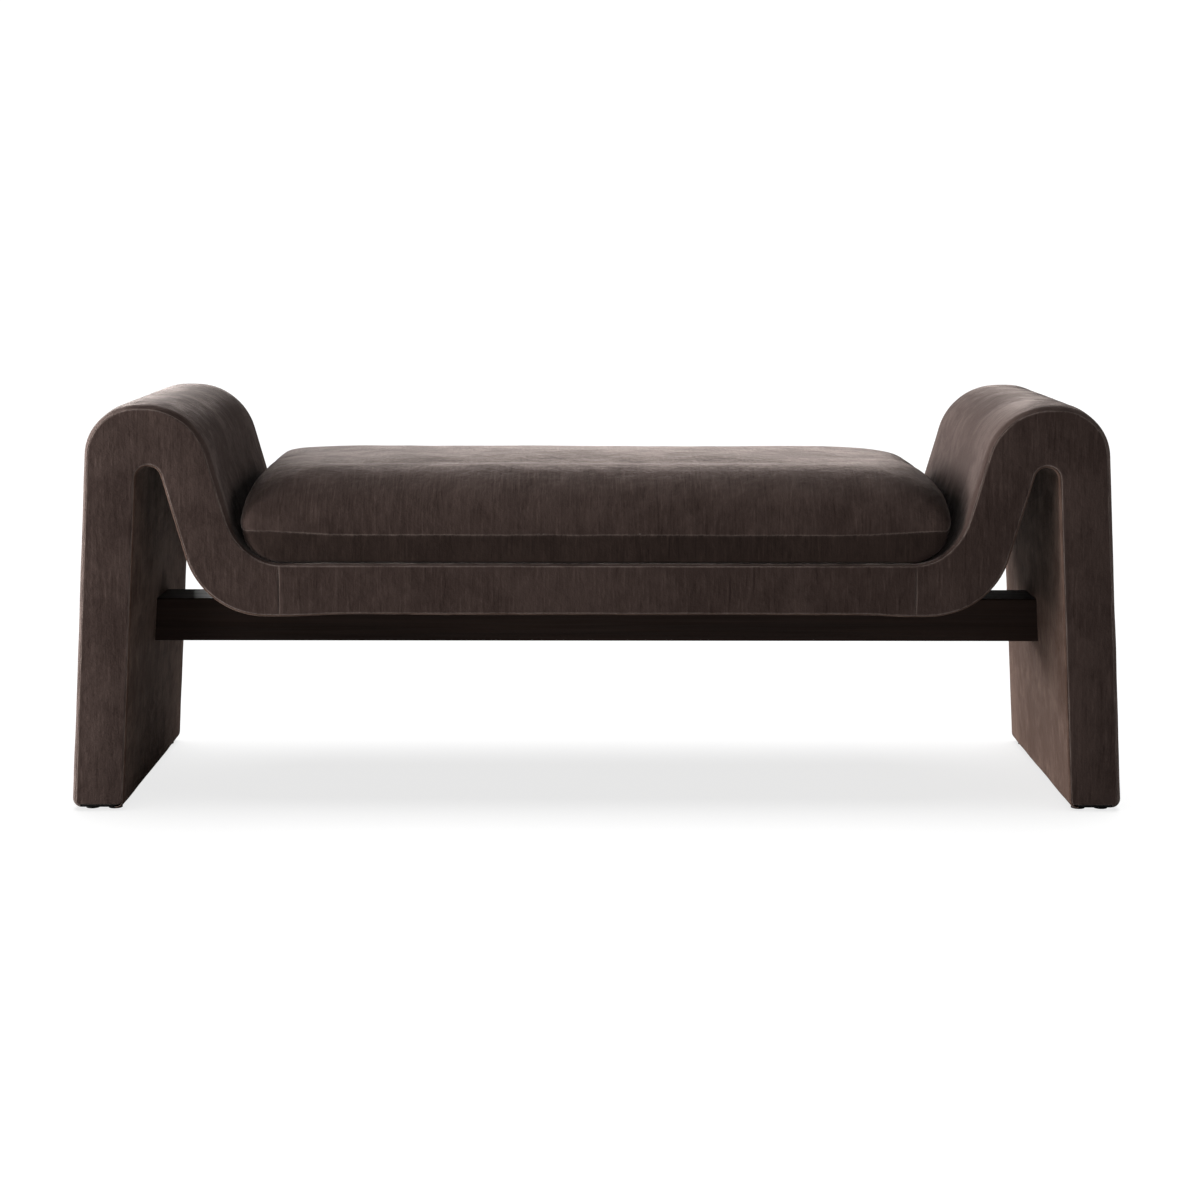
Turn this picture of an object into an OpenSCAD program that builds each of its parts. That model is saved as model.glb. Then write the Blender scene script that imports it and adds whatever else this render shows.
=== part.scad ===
// Accent bench: one padded slab that runs up a splayed leg, over a round shoulder, down a slope,
// along a sunken seat and back up, with a beam between the legs and a loose cushion in the trough.
// The origin is on the floor under the middle of the bench. +X is along the seat, +Z is up, and
// the front looks along -Y.

/* [Overall] */
// Width across the feet of the two legs
bench_w = 1520; // [1300:10:1800]
// Depth from the front panel to the rear panel
bench_d = 457; // [380:1:600]
// Height of the shoulders above the floor
bench_h = 588; // [570:1:620]
// Thickness of the padded slab, square to its faces
slab_t = 76; // [72:1:80]

/* [Outline] */
// Height of the sunken seat, under the cushion
seat_z = 361; // [345:1:375]
// Width of a shoulder along its top, corner to corner before they are rounded
shoulder_w = 155; // [150:1:175]
// Lean of the slopes from upright, in degrees
slope_deg = 16; // [14:0.5:18]
// Splay of the legs from upright, in degrees
splay_deg = 3.2; // [2:0.1:4]
// Radius of the shoulder on its leg side
shoulder_leg_r = 76; // [60:1:80]
// Radius of the shoulder on its seat side
shoulder_seat_r = 95; // [80:1:98]
// Radius where the slope runs into the seat
trough_r = 112; // [100:1:130]
// Radius of the slab's under face below that
underside_r = 117; // [100:1:130]
// Radius at the top of the narrow arch between leg and slope
arch_r = 16; // [14:0.5:18]
// Radius of the padded corners at the bottom of a leg
foot_r = 13; // [11:0.5:16]
// Radius of the padded edges at the front and the rear
edge_r = 9; // [7:0.5:10]
// Distance of the upright seams past the flat of the seat
seam_out = 33; // [10:1:45]

/* [Padding] */
// Thickness of the velvet with its backing
cover_t = 1.5; // [1:0.1:2]
// Thickness of the foam on the outer and seat faces
seat_foam_t = 20; // [16:0.5:22]
// Thickness of the foam on the under faces
under_foam_t = 10; // [8:0.5:12]
// Thickness of the foam on the front and rear faces
side_foam_t = 12; // [10:0.5:15]
// Thickness of the glue on the bent skins, towards the foam and towards the rails
glue_t = 0.1; // [0.05:0.05:0.2]

/* [Frame] */
// Thickness of the bent plywood skins
skin_t = 4; // [3:0.5:5]
// Thickness of the plywood contour ribs
rib_t = 18; // [15:1:21]
// Width of a cross rail along the slab
rail_w = 44; // [30:1:60]
// Number of cross rails under the seat
rail_count = 5; // [3:1:7]
// Height of the cross rail in each leg
leg_rail_z = 430; // [400:1:450]
// Height of a foot board
foot_board_h = 20; // [16:1:25]
// Height of the block that carries the beam in each leg
block_h = 100; // [80:1:120]

/* [Beam] */
// Depth of the beam
beam_d = 90; // [76:1:110]
// Height of the beam
beam_h = 65; // [55:1:75]
// Radius of the beam's long edges
beam_edge_r = 3; // [2:0.5:5]
// Thickness of the felt strip between the beam and the seat
strip_t = 4; // [3:0.5:6]
// Width of the felt strip
strip_w = 60; // [40:1:70]
// Distance from the ends of the felt strip to the ends of the flat underside
strip_margin = 45; // [20:1:150]
// Distance between the two bolts at each end
bolt_gap = 44; // [36:1:48]
// Diameter of a beam bolt
bolt_d = 8; // [6:1:10]
// Slack of the bolts' holes, on the diameter
hole_slack = 0.6; // [0.2:0.1:1]
// Slack of a washer on its bolt, on the diameter
washer_slack = 0.4; // [0.2:0.1:0.8]
// Slack between a bolt and its insert, on the diameter
thread_slack = 0.1; // [0.06:0.02:0.2]
// Diameter of a bolt's head
bolt_head_d = 14; // [12.5:0.5:16]
// Height of a bolt's head
bolt_head_h = 4.4; // [3:0.1:6]
// Width of the socket in a bolt's head, over its corners
socket_d = 7; // [5:0.5:8]
// Depth of that socket
socket_h = 2.2; // [1.5:0.1:2.8]
// Diameter of a washer
washer_d = 18; // [17:0.5:20]
// Thickness of a washer
washer_t = 1.6; // [1:0.1:2]
// Depth to which the washer and the head are let into the block
bolt_sink = 8; // [7:0.5:10]
// Slack of the washer in the block, on the diameter
sink_slack = 1; // [0.5:0.5:2]
// Length of a bolt inside the beam
bolt_reach = 36; // [30:1:50]
// Depth of the beam's bore past the end of its bolt
bore_spare = 2; // [1:0.5:5]
// Diameter of a threaded insert
insert_d = 14; // [13:0.5:16]
// Length of a threaded insert
insert_l = 24; // [20:1:27]
// Depth of an insert below the end of the beam
insert_sink = 1.5; // [1:0.5:3]

/* [Glides] */
// Diameter of a glide
glide_d = 20; // [16:1:22]
// Height of a glide
glide_h = 3; // [2.5:0.5:5]
// Distance from the long edges of the foot board to the middle of a glide
glide_margin = 5; // [4:0.5:9]
// Distance from the front or rear face to the middle of a glide
glide_end = 24; // [20:1:40]
// Diameter of a glide's nail
nail_d = 3; // [2:0.5:3.5]
// Length of a glide's nail above the glide
nail_l = 17; // [12:1:18]
// Slack of a nail in its hole, on the diameter
nail_slack = 0.1; // [0.05:0.05:0.3]

/* [Cushion] */
// Distance of the cushion behind the front panel, and in front of the rear one
cushion_setback = 8; // [8:0.5:25]
// Height above the cushion's base at which it is longest
widest_h = 47; // [42:1:70]
// Height of the cushion's crown above its flat base
cushion_h = 132; // [125:1:145]
// Height of the seam above the base
cushion_seam_h = 38.3; // [34:0.1:44]
// Gap between the cushion's ends and the trough
end_gap = 5; // [4:0.5:8]
// Thickness of the cushion's cover
cushion_cover_t = 2; // [1.5:0.1:2.5]
// Radius of the cushion's corners in plan
cushion_corner_r = 26; // [20:1:60]
// Distance by which the long sides draw in at the seam
draw_in = 4; // [2:0.5:6]
// Radius of the rounded top edge along the front and the rear
top_edge_r = 55; // [28:1:60]
// Reach of the rounded top edge at the ends, along the cushion
end_roll = 46; // [35:1:100]
// Rise of the crown above the rounded edges
crown = 5; // [4:0.5:9]
// Distance by which the lower panel curls under along the front and the rear
under_roll = 9; // [6:1:26]
// Depth of the crease that the front seam pulls in
pinch = 2.5; // [1:0.5:4]
// Height over which the front swells out again above the seam
bulge_h = 16; // [10:1:30]

/* [Cushion fittings] */
// Distance from the ends of the zip to the cushion's round rear corners
zip_margin = 36; // [10:1:120]
// Width of the zip's tape
tape_w = 24; // [22:0.5:25]
// Thickness of the zip's tape
tape_t = 0.8; // [0.6:0.1:1.2]
// Flat of the cover that is left below the tape
tape_margin = 1; // [0.5:0.5:3]
// Width of the zip's chain
chain_w = 5; // [4:0.5:6]
// Height of the chain over its tape
chain_h = 1.4; // [1:0.1:2]
// Length of the zip's slider
slider_l = 13; // [12:0.5:16]
// Thickness of the slider's plate and cheeks
slider_t = 1.2; // [1:0.1:1.5]
// Distance from the end of the zip to the slider, when it is closed
slider_rest = 4; // [3:1:10]
// Distance by which the slider widens towards its mouth
slider_flare = 1; // [0.5:0.5:2]
// Distance from the back of the slider to the bridge that holds its pull
bridge_in = 1; // [0.5:0.5:2]
// Distance from the pin to the ends of that bridge
bridge_wall = 1; // [0.5:0.5:2]
// Gap between the bridge and the pull
bridge_gap = 0.3; // [0.2:0.05:0.4]
// Gap between the slider and the chain
slider_gap = 0.3; // [0.2:0.05:0.4]
// Diameter of the pull's pin
pin_d = 1.6; // [1.4:0.1:2]
// Gap between the pull's eye and its pin
pin_gap = 0.06; // [0.03:0.01:0.09]
// Wall of the pull's eye
eye_wall = 1; // [0.8:0.1:1.5]
// Length of the pull from its pin
pull_l = 26; // [20:1:32]
// Width of the pull
pull_w = 6; // [5:0.5:7]
// Thickness of the pull
pull_t = 1.4; // [1.2:0.1:1.6]
// Thickness of a hook or loop strip
hook_t = 1.2; // [1:0.1:1.5]
// Length of a hook or loop strip
hook_l = 200; // [150:1:220]
// Width of a hook or loop strip
hook_w = 25; // [20:1:50]
// Distance from the outer strips to the ends of the flat of the seat
hook_margin = 34; // [10:1:60]
// Gap that is left between the hooks and the loops
hook_gap = 0.3; // [0.2:0.05:0.4]

/* [Hidden] */

// Segments in each arc of the outline, of the small foot corners and of a padded edge
arc_n = 8;
foot_n = 4;
edge_n = 3;
$fn = 32;

// Distance by which a cutting shape runs past what it cuts
past = 1;

// Height of a leg's bottom, and the flat that the padding and the foot board leave above it
leg_z = glide_h;
body_inset = cover_t + foot_board_h;

// Insets of the layers below the outer face and below the under face
outer_foam_in = cover_t + seat_foam_t;
skin_top = outer_foam_in + glue_t;
rib_top = skin_top + skin_t;
under_foam_in = cover_t + under_foam_t;
skin_bottom = under_foam_in + glue_t;
rib_bottom = skin_bottom + skin_t;
rail_top = rib_top + glue_t;
rail_bottom = rib_bottom + glue_t;

// Places across the depth of the front faces of the panels, the foam and the ribs
panel_y = bench_d / 2;
foam_y = panel_y - cover_t;
rib_y = foam_y - side_foam_t;
round_y = panel_y - edge_r;

under_z = seat_z - slab_t;
beam_top = under_z - strip_t;
bolt_z = beam_top - beam_h / 2;
hole_d = bolt_d + hole_slack;

velvet = [0.24, 0.19, 0.17];
velvet_under = [0.17, 0.13, 0.12];
foam_colour = [0.86, 0.80, 0.62];
ply_colour = [0.78, 0.62, 0.42];
pine_colour = [0.82, 0.68, 0.47];
espresso = [0.12, 0.08, 0.05];
steel = [0.62, 0.63, 0.65];

// The outline runs from the middle of the seat up the right slope, over the shoulder, down the
// leg, under it, up its inside, round the arch and back to the middle of the underside. The slab
// is always on the right of the way that it runs. An edge is a point, a heading and an inset.
function heading(a) = [cos(a), sin(a)];
function inward(a) = [sin(a), -cos(a)];
slope_a = 90 - slope_deg;
outer_leg_a = splay_deg - 90;
inner_leg_a = splay_deg + 90;
under_slope_a = slope_a + 180;

leg_foot = [bench_w / 2, leg_z + foot_r];
shoulder_end_x = leg_foot[0] - (bench_h - leg_foot[1]) * tan(splay_deg) - shoulder_w;
slope_foot = [shoulder_end_x - (bench_h - seat_z) * tan(slope_deg), seat_z];

function seat_edge(o) = [[0, seat_z], 0, o];
function slope_edge(o) = [slope_foot, slope_a, o];
function top_edge(o) = [[0, bench_h], 0, o];
function leg_edge(o) = [leg_foot, outer_leg_a, o];
function foot_edge(o) = [[0, leg_z], -180, o];
function inner_leg_edge(o) = [leg_foot + slab_t * inward(outer_leg_a), inner_leg_a, o];
function under_slope_edge(o) = [slope_foot + slab_t * inward(slope_a), under_slope_a, o];
function underside_edge(o) = [[0, under_z], 180, o];

function cross2(a, b) = a[0] * b[1] - a[1] * b[0];
function edge_point(e) = e[0] + e[2] * inward(e[1]);
function corner(e, f) =
  let (p = edge_point(e), q = edge_point(f), d = heading(e[1]), g = heading(f[1]))
  p + d * (cross2(q - p, g) / cross2(d, g));
// Turn from one edge to the next, positive to the right, where the slab has an outside corner
function turn(e, f) = let (t = e[1] - f[1]) t - 360 * round(t / 360);
function corner_r(e, f, r) =
  turn(e, f) > 0 ? max(0, r - max(e[2], f[2])) : r + max(e[2], f[2]);
function arc_centre(e, f, r) =
  let (s = sign(turn(e, f)), cr = corner_r(e, f, r))
  corner(e, f) - heading(e[1]) * cr * tan(abs(turn(e, f)) / 2) + inward(e[1]) * s * cr;
function arc(e, f, r, n) =
  let (c = arc_centre(e, f, r), s = sign(turn(e, f)), cr = corner_r(e, f, r))
  cr == 0 ? [for (k = [0:n]) corner(e, f)]
    : [for (k = [0:n]) c - inward(e[1] - turn(e, f) * k / n) * s * cr];

function trough_arc(o) = arc(seat_edge(o), slope_edge(o), trough_r, arc_n);
function seat_shoulder_arc(o) = arc(slope_edge(o), top_edge(o), shoulder_seat_r, arc_n);
function leg_shoulder_arc(o) = arc(top_edge(o), leg_edge(o), shoulder_leg_r, arc_n);
function outer_foot_arc(o, b) = arc(leg_edge(o), foot_edge(b), foot_r, foot_n);
function inner_foot_arc(o, b) = arc(foot_edge(b), inner_leg_edge(o), foot_r, foot_n);
function arch_arc(o) = arc(inner_leg_edge(o), under_slope_edge(o), arch_r, arc_n);
function underside_arc(o) = arc(under_slope_edge(o), underside_edge(o), underside_r, arc_n);

// Right halves of the outer line and the under line at inset o, and at inset b under the foot
function outer_half(o, b) =
  concat(trough_arc(o), seat_shoulder_arc(o), leg_shoulder_arc(o), outer_foot_arc(o, b));
function under_half(o, b) = concat(inner_foot_arc(o, b), arch_arc(o), underside_arc(o));

function reversed(list) = [for (k = [len(list) - 1:-1:0]) list[k]];
function flipped(points) = [for (p = points) [-p[0], p[1]]];
function outer_line(o, b) = concat(reversed(flipped(outer_half(o, b))), outer_half(o, b));
function under_line(o, b) = concat(under_half(o, b), reversed(flipped(under_half(o, b))));
function slab_line(o) = concat(outer_line(o, o), under_line(o, o));
function without_repeats(points) =
  [for (k = [0:len(points) - 1])
    if (norm(points[k] - points[(k + 1) % len(points)]) > 0.001) points[k]];

// A flat profile in X and Z, drawn out from y0 to y1
module drawn(points, y0, y1) {
  translate([0, y1, 0])
    rotate([90, 0, 0])
      linear_extrude(y1 - y0) polygon(without_repeats(points));
}

// Faces of a skin over n rings with m points each, where every ring closes on itself if ring_closed
// and the last ring joins the first if stack_closed. From ring flip_from to ring flip_to the
// squares are split the other way, so that a skin and its mirror in the stack meet face to face.
function skin_faces(n, m, ring_closed, stack_closed, flip_from = 0, flip_to = -1) =
  [for (i = [0:n - (stack_closed ? 1 : 2)], k = [0:m - (ring_closed ? 1 : 2)])
    let (a = i * m + k, b = i * m + (k + 1) % m,
         c = ((i + 1) % n) * m + (k + 1) % m, d = ((i + 1) % n) * m + k)
    each i >= flip_from && i < flip_to ? [[a, b, d], [b, c, d]] : [[a, b, c], [a, c, d]]];

// The velvet's section over a padded edge: pairs of inset and place across the depth. The face
// rolls over by a quarter turn and ends where the flat panel starts.
function edge_roll(t) =
  [for (k = [0:edge_n])
    [edge_r - (edge_r - t) * cos(90 * k / edge_n), round_y + (edge_r - t) * sin(90 * k / edge_n)]];
band_section = concat(
  [for (s = reversed(edge_roll(0))) [s[0], -s[1]]], edge_roll(0),
  reversed(edge_roll(cover_t)), [for (s = edge_roll(cover_t)) [s[0], -s[1]]]);

// A band of velvet over a stretch of outline, given as one line for each point of the section.
// Its two ends are closed by a strip between the outer and the inner half of the section.
module velvet_band(lines) {
  n = len(lines);
  m = len(lines[0]);
  points = [for (j = [0:n - 1], p = lines[j]) [p[0], band_section[j][1], p[1]]];
  first_end = [for (j = [0:n / 2 - 2]) let (a = j * m, b = (j + 1) * m,
      c = (n - 2 - j) * m, d = (n - 1 - j) * m) each [[a, b, c], [a, c, d]]];
  last_end = [for (f = first_end) [for (k = [2:-1:0]) f[k] + m - 1]];
  faces = concat(skin_faces(n, m, false, true), first_end, last_end);
  polyhedron(points, [for (f = faces) reversed(f)], convexity = 6);
}

// Frame
module front_rib() {
  color(ply_colour) rib(-rib_y, -rib_y + rib_t);
}

module rear_rib() {
  color(ply_colour) rib(rib_y - rib_t, rib_y);
}

module rib(y0, y1) {
  drawn(concat(outer_line(rib_top, body_inset), under_line(rib_bottom, body_inset)), y0, y1);
}

module upper_skin() {
  color(ply_colour)
    drawn(
      concat(outer_line(skin_top, body_inset), reversed(outer_line(rib_top, body_inset))),
      -rib_y, rib_y);
}

module under_skin() {
  color(ply_colour) difference() {
    drawn(
      concat(under_line(skin_bottom, body_inset), reversed(under_line(rib_bottom, body_inset))),
      -rib_y, rib_y);
    both_ends() bolt_holes(hole_d);
  }
}

// Cross rails run from rib to rib, between the two skins
rail_y = rib_y - rib_t;
trough_centre = arc_centre(seat_edge(0), slope_edge(0), trough_r);
flat_x = trough_centre[0];
rail_pitch = 2 * (flat_x - rail_w) / (rail_count - 1);

// The part of the slab between two edges that face each other, from a point along the first
module slice(edge_a, edge_b, start, length, y) {
  d = heading(edge_a[1]);
  p = start;
  q = start + d * length;
  side = inward(edge_a[1]);
  far_p = corner([p, edge_a[1] - 90, 0], edge_b);
  far_q = corner([q, edge_a[1] - 90, 0], edge_b);
  drawn([p, q, far_q, far_p], -y, y);
}

function leg_point(o, z) =
  corner(leg_edge(o), [[0, z], 0, 0]);

module leg_part(top, height, y) {
  slice(leg_edge(rail_top), inner_leg_edge(rail_bottom), leg_point(rail_top, top), height, y);
}

module right_leg_rail() {
  color(pine_colour) leg_part(leg_rail_z + rail_w / 2, rail_w, rail_y);
}

module left_leg_rail() {
  mirror([1, 0, 0]) right_leg_rail();
}

module right_slope_rail() {
  low = trough_arc(rail_top)[arc_n];
  high = seat_shoulder_arc(rail_top)[0];
  start = (low + high) / 2 - heading(slope_a) * rail_w / 2;
  color(pine_colour)
    slice(slope_edge(rail_top), under_slope_edge(rail_bottom), start, rail_w, rail_y);
}

module left_slope_rail() {
  mirror([1, 0, 0]) right_slope_rail();
}

module seat_rails() {
  color(pine_colour)
    for (k = [0:rail_count - 1])
      translate([rail_pitch * (k - (rail_count - 1) / 2) - rail_w / 2, -rail_y, under_z + rail_bottom])
        cube([rail_w, 2 * rail_y, slab_t - rail_top - rail_bottom]);
}

module right_beam_block() {
  color(pine_colour) difference() {
    leg_part(bolt_z + block_h / 2, block_h, rail_y);
    bolt_holes(hole_d);
    for (y = bolt_ys) {
      translate([washer_x, y, bolt_z]) rotate([0, 90, 0]) cylinder(h = slab_t, d = washer_d + sink_slack);
    }
  }
}

module left_beam_block() {
  mirror([1, 0, 0]) right_beam_block();
}

module right_foot_board() {
  top_inner = corner(foot_edge(body_inset), inner_leg_edge(skin_bottom));
  top_outer = corner(leg_edge(skin_top), foot_edge(body_inset));
  color(pine_colour) difference() {
    drawn(
      concat([top_outer], outer_foot_arc(skin_top, cover_t), inner_foot_arc(skin_bottom, cover_t),
        [top_inner]),
      -rib_y, rib_y);
    nail_holes();
  }
}

module left_foot_board() {
  mirror([1, 0, 0]) right_foot_board();
}

// Foam
module foam_piece(points) {
  color(foam_colour) drawn(points, -rib_y, rib_y);
}

module between(line_a, line_b) {
  foam_piece(concat(line_a, reversed(line_b)));
}

function leg_run(o) =
  concat([leg_shoulder_arc(o)[arc_n]], outer_foot_arc(o, cover_t));
function shoulder_run(o) = concat(seat_shoulder_arc(o), leg_shoulder_arc(o));
function half_seat_run(o) = concat(trough_arc(o), [seat_shoulder_arc(o)[0]]);
function seat_run(o) = concat(reversed(flipped(half_seat_run(o))), half_seat_run(o));
function inner_leg_run(o) = concat(inner_foot_arc(o, cover_t), [arch_arc(o)[0]]);
function arch_run(o) = concat(arch_arc(o), [underside_arc(o)[0]]);
function underside_run(o) = concat(underside_arc(o), reversed(flipped(underside_arc(o))));

module right_leg_foam() {
  between(leg_run(cover_t), leg_run(outer_foam_in));
}

module left_leg_foam() {
  mirror([1, 0, 0]) right_leg_foam();
}

module right_shoulder_foam() {
  between(shoulder_run(cover_t), shoulder_run(outer_foam_in));
}

module left_shoulder_foam() {
  mirror([1, 0, 0]) right_shoulder_foam();
}

module seat_foam() {
  between(seat_run(cover_t), seat_run(outer_foam_in));
}

module right_inner_leg_foam() {
  difference() {
    between(inner_leg_run(cover_t), inner_leg_run(under_foam_in));
    bolt_holes(hole_d);
  }
}

module left_inner_leg_foam() {
  mirror([1, 0, 0]) right_inner_leg_foam();
}

module right_arch_foam() {
  between(arch_run(cover_t), arch_run(under_foam_in));
}

module left_arch_foam() {
  mirror([1, 0, 0]) right_arch_foam();
}

module underside_foam() {
  between(underside_run(cover_t), underside_run(under_foam_in));
}

// Foam over the face of a rib
module front_foam() {
  color(foam_colour) drawn(slab_line(edge_r), -foam_y, -rib_y);
}

module rear_foam() {
  mirror([0, 1, 0]) front_foam();
}

// Soft roll round the side foam, with the rounded edge that the velvet lies on
module front_edge_roll() {
  section = concat([[edge_r, rib_y], [cover_t, rib_y]], edge_roll(cover_t));
  lines = [for (s = section) slab_line(s[0])];
  n = len(lines);
  m = len(lines[0]);
  points = [for (j = [0:n - 1], p = lines[j]) [p[0], -section[j][1], p[1]]];
  color([0.93, 0.90, 0.80]) polyhedron(points, skin_faces(n, m, true, true), convexity = 6);
}

module rear_edge_roll() {
  mirror([0, 1, 0]) front_edge_roll();
}

// Velvet
module outer_cover() {
  color(velvet) velvet_band([for (s = band_section) outer_line(s[0], s[0])]);
}

module under_cover() {
  color(velvet_under) difference() {
    velvet_band([for (s = band_section) under_line(s[0], s[0])]);
    both_ends() bolt_holes(hole_d);
  }
}

module right_foot_cover() {
  x0 = arc_centre(foot_edge(0), inner_leg_edge(0), foot_r)[0];
  x1 = arc_centre(leg_edge(0), foot_edge(0), foot_r)[0];
  color(velvet_under) difference() {
    translate([x0, 0, leg_z])
      rotate([90, 0, 90])
        linear_extrude(x1 - x0) polygon([for (s = band_section) [s[1], s[0]]]);
    nail_holes();
  }
}

module left_foot_cover() {
  mirror([1, 0, 0]) right_foot_cover();
}

seam_x = flat_x + seam_out;

// Flat panel of the front between two places along the bench
module panel(x0, x1) {
  color(velvet)
    translate([0, -foam_y, 0])
      rotate([90, 0, 0])
        linear_extrude(cover_t)
          intersection() {
            polygon(slab_line(edge_r));
            translate([x0, 0]) square([x1 - x0, bench_h]);
          }
}

module front_left_panel() {
  panel(-bench_w, -seam_x);
}

module front_middle_panel() {
  panel(-seam_x, seam_x);
}

module front_right_panel() {
  panel(seam_x, bench_w);
}

module rear_left_panel() {
  mirror([0, 1, 0]) front_left_panel();
}

module rear_middle_panel() {
  mirror([0, 1, 0]) front_middle_panel();
}

module rear_right_panel() {
  mirror([0, 1, 0]) front_right_panel();
}

// Beam and its fixings. Each bolt runs from the block in the leg, through the skin, the foam and
// the velvet, into the insert in the beam's end.
bolt_ys = [-bolt_gap / 2, bolt_gap / 2];
beam_end_x = corner(inner_leg_edge(0), [[0, bolt_z], 0, 0])[0];
washer_x = leg_point(rib_top, bolt_z)[0] - bolt_sink;
insert_x = beam_end_x - insert_sink - insert_l;

module bolt_holes(d) {
  for (y = bolt_ys)
    translate([beam_end_x - slab_t, y, bolt_z]) rotate([0, 90, 0]) cylinder(h = 2 * slab_t, d = d);
}

module both_ends() {
  for (side = [0, 1]) mirror([side, 0, 0]) children();
}

module stretcher_beam() {
  low = beam_top - beam_h;
  ends = [for (z = [low, beam_top]) corner(inner_leg_edge(0), [[0, z], 0, 0])];
  color(espresso) difference() {
    intersection() {
      translate([-bench_w / 2, 0, low])
        rotate([90, 0, 90])
          linear_extrude(bench_w) rounded_bar(beam_d, beam_h, beam_edge_r);
      drawn(concat(ends, reversed(flipped(ends))), -beam_d, beam_d);
    }
    both_ends() {
      bore_along(beam_end_x - bolt_reach - bore_spare, hole_d);
      bore_along(insert_x, insert_d);
    }
  }
}

module bore_along(x, d) {
  for (y = bolt_ys) translate([x, y, bolt_z]) rotate([0, 90, 0]) cylinder(h = slab_t, d = d);
}

// A bar's section: a rectangle on its middle bottom point, with round corners
module rounded_bar(w, h, r) {
  translate([-w / 2 + r, 0]) square([w - 2 * r, h]);
  translate([-w / 2, r]) square([w, h - 2 * r]);
  for (x = [r - w / 2, w / 2 - r], y = [r, h - r]) translate([x, y]) circle(r);
}

module bearing_strip() {
  strip_l = 2 * (arc_centre(under_slope_edge(0), underside_edge(0), underside_r)[0] - strip_margin);
  color([0.1, 0.1, 0.1])
    translate([-strip_l / 2, -strip_w / 2, beam_top]) cube([strip_l, strip_w, strip_t]);
}

module beam_bolts() {
  shank_l = washer_x - beam_end_x + bolt_reach;
  color(steel)
    both_ends()
      for (y = bolt_ys)
        translate([washer_x, y, bolt_z])
          rotate([0, 90, 0]) {
            translate([0, 0, -shank_l]) cylinder(h = shank_l + washer_t, d = bolt_d);
            difference() {
              translate([0, 0, washer_t]) cylinder(h = bolt_head_h, d = bolt_head_d);
              translate([0, 0, washer_t + bolt_head_h - socket_h])
                cylinder(h = bolt_head_h, d = socket_d, $fn = 6);
            }
          }
}

module bolt_washers() {
  color(steel)
    both_ends()
      for (y = bolt_ys)
        translate([washer_x, y, bolt_z])
          rotate([0, 90, 0])
            difference() {
              cylinder(h = washer_t, d = washer_d);
              translate([0, 0, -past]) cylinder(h = washer_t + 2 * past, d = bolt_d + washer_slack);
            }
}

module threaded_inserts() {
  color(steel)
    both_ends()
      for (y = bolt_ys)
        translate([insert_x, y, bolt_z])
          rotate([0, 90, 0])
            difference() {
              cylinder(h = insert_l, d = insert_d);
              translate([0, 0, -past]) cylinder(h = insert_l + 2 * past, d = bolt_d + thread_slack);
            }
}

// Glides, nailed through the foot cover into the foot board
glide_xs = [
  corner(foot_edge(cover_t), inner_leg_edge(skin_bottom))[0] + glide_margin,
  corner(leg_edge(skin_top), foot_edge(cover_t))[0] - glide_margin,
];
glide_ys = [-(panel_y - glide_end), panel_y - glide_end];

module at_glides() {
  for (x = glide_xs, y = glide_ys) translate([x, y, 0]) children();
}

module nail_holes() {
  at_glides() cylinder(h = glide_h + nail_l + past, d = nail_d + nail_slack);
}

module glides() {
  color([0.08, 0.07, 0.07])
    both_ends()
      at_glides() {
        cylinder(h = glide_h, d = glide_d);
        cylinder(h = glide_h + nail_l, d = nail_d);
      }
}

// Strips that hold the cushion in the trough
hook_z = seat_z + hook_t + hook_gap;
hook_pitch = flat_x - hook_margin - hook_l / 2;

module strips(z) {
  for (k = [-1:1])
    translate([k * hook_pitch - hook_l / 2, -hook_w / 2, z]) cube([hook_l, hook_w, hook_t]);
}

module hook_strips() {
  color([0.1, 0.09, 0.09]) strips(seat_z);
}

module loop_strips() {
  color([0.13, 0.11, 0.1]) strips(hook_z);
}

// Cushion. It is drawn in rings from its flat base up to its crown. A ring is its half length,
// its half depth at the front and at the rear, its height, and how far its front draws in.
base_z = hook_z + hook_t;
seam_z = base_z + cushion_seam_h;
crown_z = base_z + cushion_h;
half_d = bench_d / 2 - cushion_setback;
end_reach = trough_r - end_gap;
end_rise = trough_centre[1] - base_z;
edge_top_z = crown_z - crown;
edge_low_z = edge_top_z - top_edge_r;

// Reach of a cushion's end at height z, as it follows the trough and then rolls over to the top
widest_z = base_z + widest_h;
function ellipse(t) = sqrt(max(0, 1 - t * t));
function low_end_x(z) = flat_x + end_reach * ellipse((trough_centre[1] - z) / end_rise);
function end_x(z) =
  z < widest_z ? low_end_x(z)
    : low_end_x(widest_z) - end_roll * (1 - ellipse((z - widest_z) / (edge_top_z - widest_z)));
// Reach of the front at height z: it curls under below the seam and rolls over at the top
function low_y(z) = half_d - pinch - under_roll * (1 - ellipse((seam_z - z) / (seam_z - base_z)));
function front_y(z) =
  z <= seam_z ? low_y(z)
    : z < edge_low_z ? half_d - pinch * max(0, 1 - (z - seam_z) / bulge_h)
    : half_d - top_edge_r * (1 - ellipse((z - edge_low_z) / top_edge_r));
// The rear stays flat where the zip's tape lies
tape_low = seam_z - tape_w / 2 - tape_margin;
function rear_y(z) =
  z < tape_low ? half_d - under_roll * (1 - ellipse((tape_low - z) / (tape_low - base_z)))
    : z < edge_low_z ? half_d
    : front_y(z);
function drawn_in(z) = draw_in * max(0, 1 - abs(z - seam_z) / (seam_z - base_z));

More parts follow.
